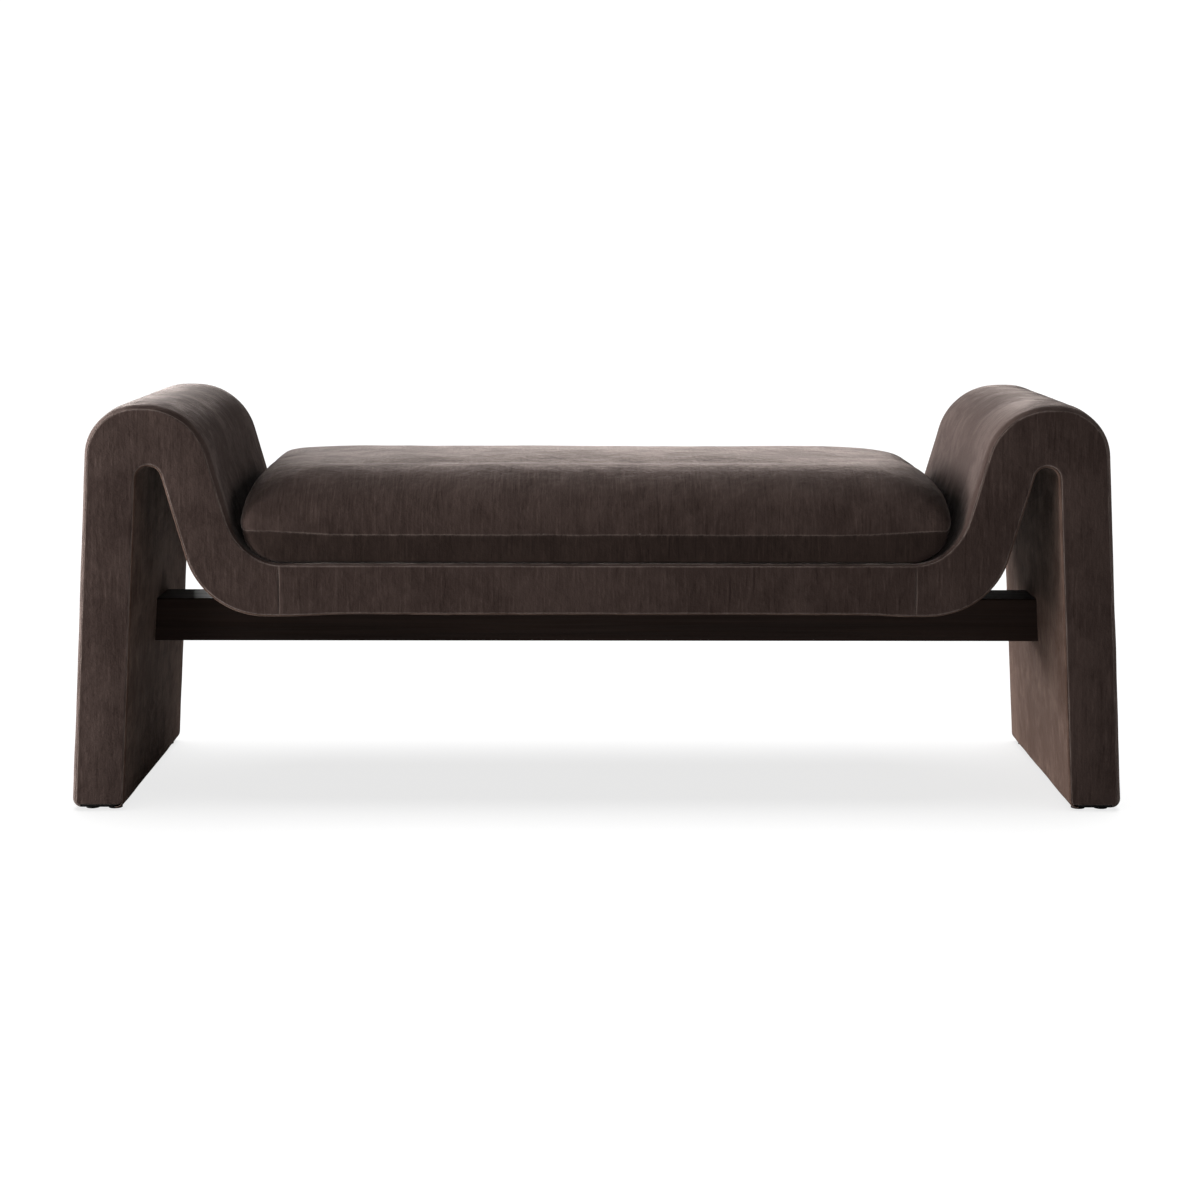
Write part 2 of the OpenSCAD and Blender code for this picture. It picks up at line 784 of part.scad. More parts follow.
base_n = 4;
wall_n = 3;
roll_n = 5;
crown_n = 3;
corner_n = 4;
side_n = 6;
base_heights = concat(
  [for (k = [0:base_n - 1]) base_z + (tape_low - base_z) * (1 - cos(90 * k / base_n))],
  [tape_low, seam_z]);
wall_heights = [for (k = [0:wall_n - 1]) seam_z + (edge_low_z - seam_z) * k / wall_n];
roll_heights = [for (k = [0:roll_n]) edge_low_z + top_edge_r * sin(90 * k / roll_n)];

// One ring, drawn in by t for the inner face of the cover. Going round from the right end.
function cushion_ring(z, t, lift) =
  let (x = end_x(z) - t, yf = front_y(z) - t, yr = rear_y(z) - t, d = drawn_in(z),
       r = cushion_corner_r - t)
  concat(
    [for (k = [0:corner_n]) let (a = 90 * k / corner_n)
      [x - r + r * cos(a), yr - r + r * sin(a), z + lift]],
    [for (k = [1:side_n - 1]) [(x - r) * (1 - 2 * k / side_n), yr, z + lift]],
    [for (k = [0:corner_n]) let (a = 90 + 90 * k / corner_n)
      [r - x + r * cos(a), yr - r + r * sin(a), z + lift]],
    [for (k = [0:corner_n]) let (a = 180 + 90 * k / corner_n)
      [r - x + r * cos(a), r - yf + r * sin(a), z + lift]],
    [for (k = [1:side_n - 1]) let (s = 2 * k / side_n - 1)
      [(x - r) * s, d * (1 - s * s) - yf, z + lift]],
    [for (k = [0:corner_n]) let (a = 270 + 90 * k / corner_n)
      [x - r + r * cos(a), r - yf + r * sin(a), z + lift]]);

// Crown: the top ring drawn together and raised
function crown_ring(t, share) =
  [for (p = cushion_ring(edge_top_z, t, -t))
    [p[0] * (1 - share), p[1] * (1 - share), p[2] + crown * (1 - pow(1 - share, 2))]];

function base_rings(t) =
  [for (z = base_heights) cushion_ring(z, t, t * (seam_z - z) / (seam_z - base_z))];
function top_rings(t) = concat(
  [for (z = wall_heights) cushion_ring(z, t, 0)],
  [for (k = [0:roll_n]) cushion_ring(roll_heights[k], t, -t * sin(90 * k / roll_n))],
  [for (k = [1:crown_n]) crown_ring(t, k / (crown_n + 1))]);
function base_centre(t) = [0, 0, base_z + t];
function top_centre(t) = [0, 0, crown_z - t];

// A closed skin over rings, with a fan to a middle point at each end. The rings from flip_from to
// flip_to are those that run back inside a cover.
module loft(rings, first, last, flip_from = 0, flip_to = -1) {
  n = len(rings);
  m = len(rings[0]);
  points = concat([for (ring = rings, p = ring) p], [first, last]);
  first_fan = [for (k = [0:m - 1]) [n * m, (k + 1) % m, k]];
  last_fan = [for (k = [0:m - 1]) [n * m + 1, (n - 1) * m + k, (n - 1) * m + (k + 1) % m]];
  faces = concat(skin_faces(n, m, true, false, flip_from, flip_to), first_fan, last_fan);
  polyhedron(points, [for (f = faces) reversed(f)], convexity = 6);
}

module cushion_foam() {
  t = cushion_cover_t;
  color(foam_colour)
    loft(concat(base_rings(t), [for (k = [1:len(top_rings(t)) - 1]) top_rings(t)[k]]),
      base_centre(t), top_centre(t));
}

module cushion_top_cover() {
  color(velvet)
    loft(concat(reversed(top_rings(cushion_cover_t)), top_rings(0)),
      top_centre(cushion_cover_t), top_centre(0), 0, len(top_rings(0)) - 1);
}

module cushion_base_cover() {
  color(velvet)
    loft(concat(base_rings(0), reversed(base_rings(cushion_cover_t))),
      base_centre(0), base_centre(cushion_cover_t), len(base_heights), 2 * len(base_heights) - 1);
}

// Zip along the rear seam. The slider stands at its closed end, at the left.
zip_l = 2 * (end_x(tape_low) - cushion_corner_r - zip_margin);
zip_y = half_d;
chain_y = zip_y + tape_t;
slider_x = slider_l / 2 - zip_l / 2 + slider_rest;
cheek_z = chain_w / 2 + slider_gap;
plate_y = chain_y + chain_h + slider_gap;
pin_r = pin_d / 2;
eye_r = pin_r + pin_gap;
pin_x = slider_x - slider_l / 2 + bridge_in + bridge_wall + eye_r;
pin_y = plate_y + slider_t + eye_r + eye_wall + slider_gap;

module zip_tape() {
  color([0.09, 0.08, 0.08])
    translate([-zip_l / 2, zip_y, seam_z - tape_w / 2]) cube([zip_l, tape_t, tape_w]);
}

module zip_chain() {
  color([0.12, 0.11, 0.11])
    translate([-zip_l / 2, chain_y, seam_z - chain_w / 2]) cube([zip_l, chain_h, chain_w]);
}

module zip_slider() {
  half = slider_l / 2;
  narrow = cheek_z + slider_t;
  wide = narrow + slider_flare;
  ear = pull_w / 2 + bridge_gap;
  ear_y = plate_y + slider_t / 2;
  ear_h = pin_y + pin_r + bridge_gap - ear_y;
  color(steel) {
    translate([slider_x, plate_y + slider_t, seam_z])
      rotate([90, 0, 0])
        linear_extrude(slider_t)
          polygon([[-half, -narrow], [0, -wide], [half, -wide], [half, wide], [0, wide],
            [-half, narrow]]);
    for (z = [seam_z - narrow, seam_z + cheek_z])
      translate([slider_x - half, chain_y + slider_gap, z])
        cube([slider_l, plate_y + slider_t / 2 - chain_y - slider_gap, slider_t]);
    for (z = [seam_z - ear - slider_t, seam_z + ear])
      translate([slider_x - half + bridge_in, ear_y, z])
        cube([2 * (eye_r + bridge_wall), ear_h, slider_t]);
    translate([pin_x, pin_y, seam_z - ear - slider_t / 2])
      cylinder(h = 2 * ear + slider_t, d = pin_d);
  }
}

module zip_pull() {
  tip_x = pull_l - pull_w / 2;
  color(steel)
    translate([pin_x, pin_y, seam_z])
      difference() {
        union() {
          translate([0, 0, -pull_w / 2]) cylinder(h = pull_w, r = eye_r + eye_wall);
          translate([0, -pull_t / 2, -pull_w / 2]) cube([tip_x, pull_t, pull_w]);
          translate([tip_x, pull_t / 2, 0]) rotate([90, 0, 0]) cylinder(h = pull_t, d = pull_w);
        }
        translate([0, 0, -pull_w]) cylinder(h = 2 * pull_w, r = eye_r);
        translate([tip_x, pull_t, 0]) rotate([90, 0, 0]) cylinder(h = 2 * pull_t, d = pull_w / 2);
      }
}

front_rib();
rear_rib();
upper_skin();
under_skin();
left_leg_rail();
right_leg_rail();
left_slope_rail();
right_slope_rail();
seat_rails();
left_beam_block();
right_beam_block();
left_foot_board();
right_foot_board();
left_leg_foam();
left_shoulder_foam();
seat_foam();
right_shoulder_foam();
right_leg_foam();
left_inner_leg_foam();
left_arch_foam();
underside_foam();
right_arch_foam();
right_inner_leg_foam();
front_foam();
rear_foam();
front_edge_roll();
rear_edge_roll();
outer_cover();
under_cover();
left_foot_cover();
right_foot_cover();
front_left_panel();
front_middle_panel();
front_right_panel();
rear_left_panel();
rear_middle_panel();
rear_right_panel();
stretcher_beam();
bearing_strip();
beam_bolts();
bolt_washers();
threaded_inserts();
glides();
hook_strips();
loop_strips();
cushion_foam();
cushion_top_cover();
cushion_base_cover();
zip_tape();
zip_chain();
zip_slider();
zip_pull();
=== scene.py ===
"""Accent bench in velvet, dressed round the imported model: slab, seat cushion, beam and frame."""
import logging
import math
from collections.abc import Callable, Sequence
from dataclasses import dataclass, field, replace
from enum import Enum
from functools import reduce
from operator import add
from typing import Any

import bmesh
import bpy
from mathutils import Matrix, Vector, noise


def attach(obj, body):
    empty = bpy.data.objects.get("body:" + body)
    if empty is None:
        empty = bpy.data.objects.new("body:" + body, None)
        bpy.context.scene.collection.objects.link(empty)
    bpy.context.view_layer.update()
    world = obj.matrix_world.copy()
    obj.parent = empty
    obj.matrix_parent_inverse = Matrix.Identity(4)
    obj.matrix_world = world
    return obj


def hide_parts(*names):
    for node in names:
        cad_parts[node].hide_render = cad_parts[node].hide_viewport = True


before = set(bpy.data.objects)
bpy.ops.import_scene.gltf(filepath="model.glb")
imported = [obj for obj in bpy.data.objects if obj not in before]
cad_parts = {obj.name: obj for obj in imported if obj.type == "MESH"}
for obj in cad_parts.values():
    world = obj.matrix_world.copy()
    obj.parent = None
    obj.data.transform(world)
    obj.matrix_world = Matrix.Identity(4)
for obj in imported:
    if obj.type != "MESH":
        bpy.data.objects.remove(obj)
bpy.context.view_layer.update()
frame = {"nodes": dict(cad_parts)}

LOG = logging.getLogger("bench")
MM = 0.001
CUT_DISTANCE = 1e-6
SEED_WAY = Vector((1.0, 1.7, -1.0))

Colour = tuple[float, float, float]
Place = tuple[float, float, float]
Size = tuple[float, float]
Span = tuple[float, float]
Swell = tuple[float, float, float]
Row = tuple[list[Vector], float]
Materials = dict[str, bpy.types.Material]


def held(value: float) -> float:
    """Returns a value held between 0 and 1."""
    return min(1.0, max(0.0, value))


def eased(value: float) -> float:
    """Returns a held value with a soft start and stop."""
    share = held(value)
    return share * share * (3 - 2 * share)


def bell(value: float, width: float) -> float:
    """Returns a bell curve: 1 at 0, and next to nothing beyond two widths."""
    return math.exp(-((value / width) ** 2))


def rolled(depth: float, share: float, power: float = 2.0) -> float:
    """Returns how far a rolled edge has gone back, along an ellipse: 0 at 0, its depth at 1."""
    return depth * (1 - max(0.0, 1.0 - held(share) ** power) ** (1 / power))


def drift(place: Vector, swells: Sequence[Swell]) -> float:
    """Returns a smooth noise.

    Args:
        place: Where it is wanted.
        swells: The height, the size in metres and the seed of each layer.

    Returns:
        The sum of the layers, in the heights' unit.
    """
    return sum(
        height * noise.noise(place / size + SEED_WAY * seed)
        for height, size, seed in swells
    )


def linked(name: str, data: Any) -> bpy.types.Object:
    """Returns a new object of the scene.

    Args:
        name: Its name.
        data: Its mesh, light or camera.

    Returns:
        The object.
    """
    made = bpy.data.objects.new(name, data)
    bpy.context.scene.collection.objects.link(made)
    return made


def padded(piece: bpy.types.Object, body: str, nodes: Sequence[str]) -> bpy.types.Object:
    """Sets a padded piece on its body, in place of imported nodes.

    Args:
        piece: The piece.
        body: The body that it rides on.
        nodes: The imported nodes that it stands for.

    Returns:
        The piece.
    """
    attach(piece, body)
    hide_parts(*nodes)
    LOG.info("%s stands for %s", piece.name, ", ".join(nodes))
    return piece


class Axis(Enum):
    """A direction of the bench."""

    X = 0
    Y = 1
    Z = 2


@dataclass(frozen=True)
class Marks:
    """A noise: its marks per metre along one axis and along the others, and its finer layers."""

    on_axis: float
    off_axis: float
    detail: float
    rough: float = 0.5
    twist: float = 0.0
    shift: float = 0.0


class Wire:
    """An output socket that takes part in arithmetic; each operation adds a Math node."""

    def __init__(self, graph: "Graph", socket: bpy.types.NodeSocket) -> None:
        """Wraps an output socket of a graph."""
        self.graph = graph
        self.socket = socket

    def maths(self, operation: str, value: Any, clamp: bool = False) -> "Wire":
        """Adds a Math node with this wire and a value, whose result may be held from 0 to 1."""
        settings = {"operation": operation, "use_clamp": clamp}
        return self.graph.wire("ShaderNodeMath", settings, {0: self, 1: value})

    def __add__(self, other: Any) -> "Wire":
        """Adds."""
        return self.maths("ADD", other)

    def __mul__(self, other: Any) -> "Wire":
        """Multiplies."""
        return self.maths("MULTIPLY", other)

    def held(self) -> "Wire":
        """Holds the value between 0 and 1."""
        return self.maths("ADD", 0.0, clamp=True)

    def span(self, low: float, high: float) -> "Wire":
        """Maps low to 0 and high to 1, smoothly, and holds the rest."""
        settings = {"interpolation_type": "SMOOTHSTEP"}
        return self.graph.wire("ShaderNodeMapRange", settings, {0: self, 1: low, 2: high})


def mixed(wires: Sequence[Wire], shares: Sequence[float]) -> Wire:
    """Returns the sum of wires, each times its share."""
    return reduce(add, [wire * share for wire, share in zip(wires, shares)])


class Graph:
    """The nodes of one material."""

    def __init__(self, name: str) -> None:
        """Starts an empty material.

        Args:
            name: The material's name.
        """
        self.material = bpy.data.materials.new(name)
        self.material.use_nodes = True
        self.tree = self.material.node_tree
        self.tree.nodes.clear()

    def node(self, kind: str, settings: dict[str, Any], inputs: dict[Any, Any]) -> bpy.types.Node:
        """Adds a node.

        Args:
            kind: The node's type.
            settings: Its properties.
            inputs: Values, wires or nodes for its sockets, by name or number.

        Returns:
            The new node.
        """
        made = self.tree.nodes.new(kind)
        for key, value in settings.items():
            setattr(made, key, value)
        for key, value in inputs.items():
            if isinstance(value, Wire):
                self.tree.links.new(value.socket, made.inputs[key])
            elif isinstance(value, bpy.types.Node):
                self.tree.links.new(value.outputs[0], made.inputs[key])
            else:
                made.inputs[key].default_value = value
        return made

    def wire(self, kind: str, settings: dict[str, Any], inputs: dict[Any, Any],
             output: Any = 0) -> Wire:
        """Adds a node and wraps one of its outputs, given by name or number."""
        return Wire(self, self.node(kind, settings, inputs).outputs[output])

    def noise(self, marks: Marks, axis: Axis = Axis.X, shift: float = 0.0) -> Wire:
        """Adds a noise.

        Args:
            marks: Its sizes and layers.
            axis: The axis that the first size is for.
            shift: Moves the pattern, so that two finishes differ.

        Returns:
            The noise, about 0.5 on average.
        """
        mapping = self.node("ShaderNodeMapping", {}, {
            "Vector": self.wire("ShaderNodeTexCoord", {}, {}, "Object"),
            "Scale": tuple(marks.on_axis if a is axis else marks.off_axis for a in Axis),
            "Location": (marks.shift + shift,) * 3,
        })
        return self.wire("ShaderNodeTexNoise", {}, {
            "Vector": mapping, "Scale": 1.0, "Detail": marks.detail, "Distortion": marks.twist,
            "Roughness": marks.rough,
        })

    def blend(self, share: Any, low: Any, high: Any) -> Wire:
        """Blends two colours, or wires: share 0 gives the first one, and 1 the second one."""
        a, b = ((*c, 1.0) if isinstance(c, tuple) else c for c in (low, high))
        return self.wire("ShaderNodeMix", {"data_type": "RGBA"}, {0: share, 6: a, 7: b}, 2)

    def uneven(self, share: Wire, rough: float, gain: float) -> Wire:
        """Returns a roughness that rises by a gain where the share is 1, to 1 at most."""
        return self.blend(share, (rough,) * 3, (min(1.0, rough + gain),) * 3)

    def bump(self, height: Wire, depth: float,
             below: bpy.types.Node | None = None) -> bpy.types.Node:
        """Adds a bump.

        Args:
            height: The height, from 0 to 1.
            depth: What 1 stands for, in metres.
            below: A coarser bump that this one lies on.

        Returns:
            The bump node.
        """
        inputs = {"Height": height, "Distance": depth, "Strength": 1.0}
        if below:
            inputs["Normal"] = below
        return self.node("ShaderNodeBump", {}, inputs)

    def finish(self, shader: bpy.types.Node) -> bpy.types.Material:
        """Joins a shader to the output and returns the material."""
        self.node("ShaderNodeOutputMaterial", {}, {"Surface": shader})
        return self.material


@dataclass(frozen=True)
class Velvet:
    """A slubbed velvet: its threads run square to one axis, and its nap is brushed unevenly."""

    name: str
    across: Axis
    pile: Colour = (0.0265, 0.0150, 0.0122)
    lit: Colour = (0.096, 0.065, 0.056)
    # The seam colour is a painted highlight: it lightens the cloth along the seams, where the
    # parted pile catches the light.
    seam: Colour = (0.165, 0.126, 0.111)
    sheen_tint: Colour = (1.0, 0.86, 0.80)
    sheen: float = 0.40
    sheen_low: float = 0.16
    sheen_rough: float = 0.36
    rough: float = 0.95
    gloss: float = 0.15
    shift: float = 0.0
    slub: Marks = Marks(290.0, 24.0, 4.0, 0.6)
    shade: Marks = Marks(240.0, 19.0, 4.0, 0.6, shift=5.0)
    thread: Marks = Marks(800.0, 70.0, 2.0, shift=3.0)
    grain: Marks = Marks(1700.0, 1700.0, 2.0)
    nap: Marks = Marks(7.5, 7.5, 6.0, 0.62, 0.2, 7.0)
    ruffle: Marks = Marks(26.0, 26.0, 5.0, 0.66, shift=17.0)
    # This noise breaks up the painted seam highlight.
    highlight_noise: Marks = Marks(21.0, 21.0, 3.0, shift=13.0)
    brush_shares: tuple[float, float, float, float] = (0.46, 0.30, 0.16, 0.08)
    brush_span: Span = (0.44, 0.57)
    light_span: Span = (0.52, 0.76)
    dark_span: Span = (0.52, 0.74)
    thread_span: Span = (0.4, 0.75)
    tone_shares: tuple[float, float, float, float, float] = (0.27, -0.23, 0.13, 0.22, 0.12)
    tone_base: float = 0.16
    # The next four set the painted seam highlight: the spans of its two noises, their shares and a
    # base strength added to them.
    highlight_slub_span: Span = (0.35, 0.6)
    highlight_break_span: Span = (0.4, 0.62)
    highlight_shares: tuple[float, float] = (0.5, 0.5)
    highlight_base: float = 0.15
    tilt_shares: tuple[float, float] = (0.62, 0.38)
    tilt_depth: float = 7.0 * MM
    weave_shares: tuple[float, float] = (0.7, 0.3)
    weave_depth: float = 0.55 * MM
    pile_depth: float = 0.25 * MM

    def material(self) -> bpy.types.Material:
        """Builds the material.

        Returns:
            The velvet: the brushed nap blends two shaders that differ in their sheen.
        """
        g = Graph(self.name)
        slub, shade, thread, nap, ruffle, highlight_noise = (
            g.noise(marks, self.across, self.shift)
            for marks in (self.slub, self.shade, self.thread, self.nap, self.ruffle, self.highlight_noise)
        )
        grain = g.noise(self.grain)
        brushed = mixed((nap, ruffle, slub, grain), self.brush_shares).span(*self.brush_span)
        lights, darks = slub.span(*self.light_span), shade.span(*self.dark_span)
        layers = (lights, darks, thread.span(*self.thread_span), brushed, grain)
        tone = (mixed(layers, self.tone_shares) + self.tone_base).held()
        # Painted highlight along the seams: the seam attribute, broken up by noise, blends the
        # colour towards the seam colour.
        highlight_breaks = (slub.span(*self.highlight_slub_span), highlight_noise.span(*self.highlight_break_span))
        near = g.wire("ShaderNodeAttribute", {"attribute_name": "seam"}, {}, "Fac")
        seam_highlight = (near * (mixed(highlight_breaks, self.highlight_shares) + self.highlight_base)).held()
        tilt = g.bump(mixed((nap, ruffle), self.tilt_shares), self.tilt_depth)
        weave = g.bump(mixed((slub, thread), self.weave_shares), self.weave_depth, tilt)
        inputs = {
            "Base Color": g.blend(seam_highlight, g.blend(tone, self.pile, self.lit), self.seam),
            "Normal": g.bump(grain, self.pile_depth, weave),
            "Roughness": self.rough, "Specular IOR Level": self.gloss,
            "Sheen Roughness": self.sheen_rough, "Sheen Tint": (*self.sheen_tint, 1.0),
        }
        low, high = (
            g.node("ShaderNodeBsdfPrincipled", {}, {**inputs, "Sheen Weight": sheen})
            for sheen in (self.sheen_low, self.sheen)
        )
        return g.finish(g.node("ShaderNodeMixShader", {}, {0: brushed, 1: low, 2: high}))


@dataclass(frozen=True)
class Wood:
    """A wood whose grain runs along one axis."""

    name: str
    along: Axis
    dark: Colour
    light: Colour
    rough: float
    rings: float = 90.0
    gloss: float = 0.4
    grain_length: float = 2.2
    pore_length: float = 9.0
    pores_a_ring: float = 8.0
    grain_span: Span = (0.3, 0.7)
    pore_span: Span = (0.4, 0.6)
    tone_shares: tuple[float, float] = (0.7, 0.3)
    relief_shares: tuple[float, float] = (0.4, 0.6)
    relief: float = 0.18 * MM
    rough_gain: float = 0.18

    def material(self) -> bpy.types.Material:
        """Builds the material.

        Returns:
            The wood.
        """
        g = Graph(self.name)
        grain = g.noise(Marks(self.grain_length, self.rings, 5.0, twist=0.6), self.along)
        fine = Marks(self.pore_length, self.rings * self.pores_a_ring, 3.0, shift=2.0)
        pores = g.noise(fine, self.along)
        tone = mixed((grain.span(*self.grain_span), pores), self.tone_shares).held()
        return g.finish(g.node("ShaderNodeBsdfPrincipled", {}, {
            "Base Color": g.blend(tone, self.dark, self.light),
            "Roughness": g.uneven(pores.span(*self.pore_span), self.rough, self.rough_gain),
            "Normal": g.bump(mixed((grain, pores), self.relief_shares), self.relief),
            "Specular IOR Level": self.gloss,
        }))


@dataclass(frozen=True)
class Plain:
    """A fine-grained finish: felt, cloth, tape, plastic or metal."""

    name: str
    low: Colour
    high: Colour
    rough: float
    metal: float = 0.0
    marks: float = 1500.0
    depth: float = 0.1 * MM
    stretch: float = 1.0
    cloud: Marks = Marks(35.0, 35.0, 3.0, shift=5.0)
    span: Span = (0.35, 0.65)
    shares: tuple[float, float] = (0.6, 0.4)
    rough_gain: float = 0.12

    def material(self) -> bpy.types.Material:
        """Builds the material.

        Returns:
            The finish.
        """
        g = Graph(self.name)
        marks = g.noise(Marks(self.marks / self.stretch, self.marks, 3.0))
        cloud = g.noise(self.cloud)
        tone = mixed((marks, cloud), self.shares).span(*self.span)
        return g.finish(g.node("ShaderNodeBsdfPrincipled", {}, {
            "Base Color": g.blend(tone, self.low, self.high),
            "Roughness": g.uneven(cloud.span(*self.span), self.rough, self.rough_gain),
            "Metallic": self.metal, "Normal": g.bump(marks, self.depth),
        }))


@dataclass(frozen=True)
class Edge:
    """A straight edge of the slab's outline, in X and Z. The slab lies on the right of its way."""

    x: float
    z: float
    angle: float
    inset: float = 0.0

    def heading(self) -> Vector:
        """Returns the way that the edge runs."""
        return Vector((math.cos(math.radians(self.angle)), math.sin(math.radians(self.angle))))

    def inward(self) -> Vector:
        """Returns the way into the slab."""
        return Vector((math.sin(math.radians(self.angle)), -math.cos(math.radians(self.angle))))

    def start(self) -> Vector:
        """Returns a point on the edge, at its inset."""
        return Vector((self.x, self.z)) + self.inset * self.inward()

    def back(self, thick: float) -> "Edge":
        """Returns the edge on the slab's other face, which runs the opposite way."""
        place = self.inward() * thick
        return Edge(self.x + place.x, self.z + place.y, self.angle + 180.0)

    def meet(self, other: "Edge") -> Vector:
        """Returns where this edge's line crosses another's.

        Args:
            other: The other edge.

        Returns:
            The crossing.
        """
        gap, own, way = other.start() - self.start(), self.heading(), other.heading()
        share = (gap.x * way.y - gap.y * way.x) / (own.x * way.y - own.y * way.x)
        return self.start() + own * share

    def turn(self, other: "Edge") -> float:
        """Returns the turn to another edge in radians, positive at an outside corner."""
        degrees = self.angle - other.angle
        return math.radians(degrees - 360.0 * round(degrees / 360.0))


@dataclass(frozen=True)
class Outline:
    """The slab seen from the front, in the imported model's sizes but for its trough and arch."""

    width: float = 1.520
    height: float = 0.588
    thick: float = 0.076
    seat: float = 0.361
    shoulder: float = 0.155
    slope: float = 16.0
    splay: float = 3.2
    leg_round: float = 0.076
    seat_round: float = 0.095
    trough: float = 0.076
    trough_rise: float = 0.075
    trough_fade: float = 0.055
    underside: float = 0.117
    arch: float = 0.0175
    foot: float = 0.013
    foot_z: float = 0.003
    seat_steps: int = 44
    bend_steps: int = 16
    slope_steps: int = 10
    leg_steps: int = 56
    foot_steps: int = 6

    @property
    def bottom(self) -> float:
        """Returns the height of the seat's underside."""
        return self.seat - self.thick

    def edge(self, name: str, inset: float) -> Edge:
        """Returns one edge of the right half of the outline.

        Args:
            name: seat, slope, top, leg, foot, inner_leg, under_slope or underside.
            inset: The distance inside the surface.

        Returns:
            The edge at that inset.
        """
        foot_x, foot_z = self.width / 2, self.foot_z + self.foot
        rise = math.tan(math.radians(self.splay)) * (self.height - foot_z)
        run = (self.height - self.seat) * math.tan(math.radians(self.slope))
        slope = Edge(foot_x - rise - self.shoulder - run, self.seat, 90.0 - self.slope)
        leg = Edge(foot_x, foot_z, self.splay - 90.0)
        edges = {
            "seat": Edge(0.0, self.seat, 0.0),
            "slope": slope,
            "top": Edge(0.0, self.height, 0.0),
            "leg": leg,
            "foot": Edge(0.0, self.foot_z, -180.0),
            "inner_leg": leg.back(self.thick),
            "under_slope": slope.back(self.thick),
            "underside": Edge(0.0, self.bottom, 180.0),
        }
        return replace(edges[name], inset=inset)

    def corner(self, first: str, second: str, radius: float,
               inset: float) -> tuple[Edge, float, float, Vector]:
        """Returns the arc between two edges.

        Args:
            first: The edge before the arc.
            second: The edge after it.
            radius: The arc's radius at the surface.
            inset: The distance inside the surface.

        Returns:
            The first edge, the turn, the radius with the turn's sign, and the arc's middle.
        """
        a, b = self.edge(first, inset), self.edge(second, inset)
        turn = a.turn(b)
        side = math.copysign(1.0, turn)
        r = max(0.0, radius - side * inset)
        middle = a.meet(b) - a.heading() * r * math.tan(abs(turn) / 2) + a.inward() * side * r
        return a, turn, side * r, middle

    def bend(self, first: str, second: str, radius: float, inset: float,
             steps: int) -> list[Vector]:
        """Returns the points of the arc between two edges.

        Args:
            first: The edge before the arc.
            second: The edge after it.
            radius: The arc's radius at the surface.
            inset: The distance inside the surface.
            steps: How many segments the arc has.

        Returns:
            The points, ends included.
        """
        a, turn, r, middle = self.corner(first, second, radius, inset)
        points = []
        for k in range(steps + 1):
            angle = math.radians(a.angle) - turn * k / steps
            points.append(middle - Vector((math.sin(angle), -math.cos(angle))) * r)
        return points

    @staticmethod
    def joined(parts: Sequence[list[Vector]], steps: Sequence[int]) -> list[Vector]:
        """Joins arcs by straight runs.

        Args:
            parts: The arcs, or single points.
            steps: How many segments each run between two of them has.

        Returns:
            All the points in order.
        """
        points = list(parts[0])
        for part, count in zip(parts[1:], steps):
            a, b = points[-1], part[0]
            points += [a.lerp(b, k / count) for k in range(1, count)] + list(part)
        return points

    def toe(self, side: str, inset: float, foot_inset: float | None) -> list[Vector]:
        """Returns the arc from a leg's side to its foot.

        Args:
            side: leg or inner_leg.
            inset: The side's distance inside the surface.
            foot_inset: The foot's distance inside the surface, if it differs.

        Returns:
            The points, from the side to the foot.
        """
        low = inset if foot_inset is None else foot_inset
        a, b = self.edge(side, inset), self.edge("foot", low)
        turn, r = abs(a.turn(b)), max(0.0, self.foot - max(inset, low))
        down = -a.heading() if side == "inner_leg" else a.heading()
        centre = a.meet(b) - down * r * math.tan(turn / 2) + a.inward() * r
        points = []
        for k in range(self.foot_steps + 1):
            angle = turn * k / self.foot_steps
            points.append(centre - a.inward() * r * math.cos(angle) + down * r * math.sin(angle))
        return points

    def half(self, outer: bool, inset: float, foot_inset: float | None = None) -> list[Vector]:
        """Returns the right half of the outer or the under line, from its middle to the foot.

        Args:
            outer: Whether it is the outer line.
            inset: The distance inside the surface.
            foot_inset: The same under the foot, if it differs.

        Returns:
            The points, as many for one line as for the other.
        """
        few = self.bend_steps
        runs = [self.seat_steps, self.slope_steps, self.leg_steps]
        if not outer:
            return self.joined([
                [self.edge("underside", inset).start()],
                self.bend("under_slope", "underside", self.underside, inset, few)[::-1],
                self.bend("inner_leg", "under_slope", self.arch, inset, 2 * few + 1)[::-1],
                self.toe("inner_leg", inset, foot_inset),
            ], runs)
        return self.joined([
            [self.edge("seat", inset).start()],
            self.bend("seat", "slope", self.trough, inset, few),
            self.bend("slope", "top", self.seat_round, inset, few),
            self.bend("top", "leg", self.leg_round, inset, few),
            self.toe("leg", inset, foot_inset),
        ], [*runs[:2], 1, runs[2]])

    def above_trough(self, x: float, z: float) -> tuple[float, Vector]:
        """Returns how far a place is above the seat, its corner or the slope.

        Args:
            x: Distance from the middle of the bench.
            z: Height.

        Returns:
            The distance, negative below the surface, and the way up from it, across and up.
        """
        centre = self.corner("seat", "slope", self.trough, 0.0)[-1]
        away = Vector((x - centre.x, z - centre.y))
        if away.x <= 0:
            return z - self.seat, Vector((0.0, 1.0))
        if math.atan2(away.x, -away.y) < math.radians(90.0 - self.slope):
            return self.trough - away.length, -away.normalized()
        way = Vector((-math.cos(math.radians(self.slope)), math.sin(math.radians(self.slope))))
        return self.trough + away.dot(way), way

    def trough_share(self, place: Vector) -> float:
        """Returns 1 in the seat and under it, and 0 on the shoulders."""
        return eased((self.seat + self.trough_rise - place.y) / self.trough_fade)

    @staticmethod
    def whole(half: list[Vector]) -> list[Vector]:
        """Returns a half line with its mirror image before it, from the left foot to the right."""
        return [Vector((-p.x, *p[1:])) for p in half[:0:-1]] + half


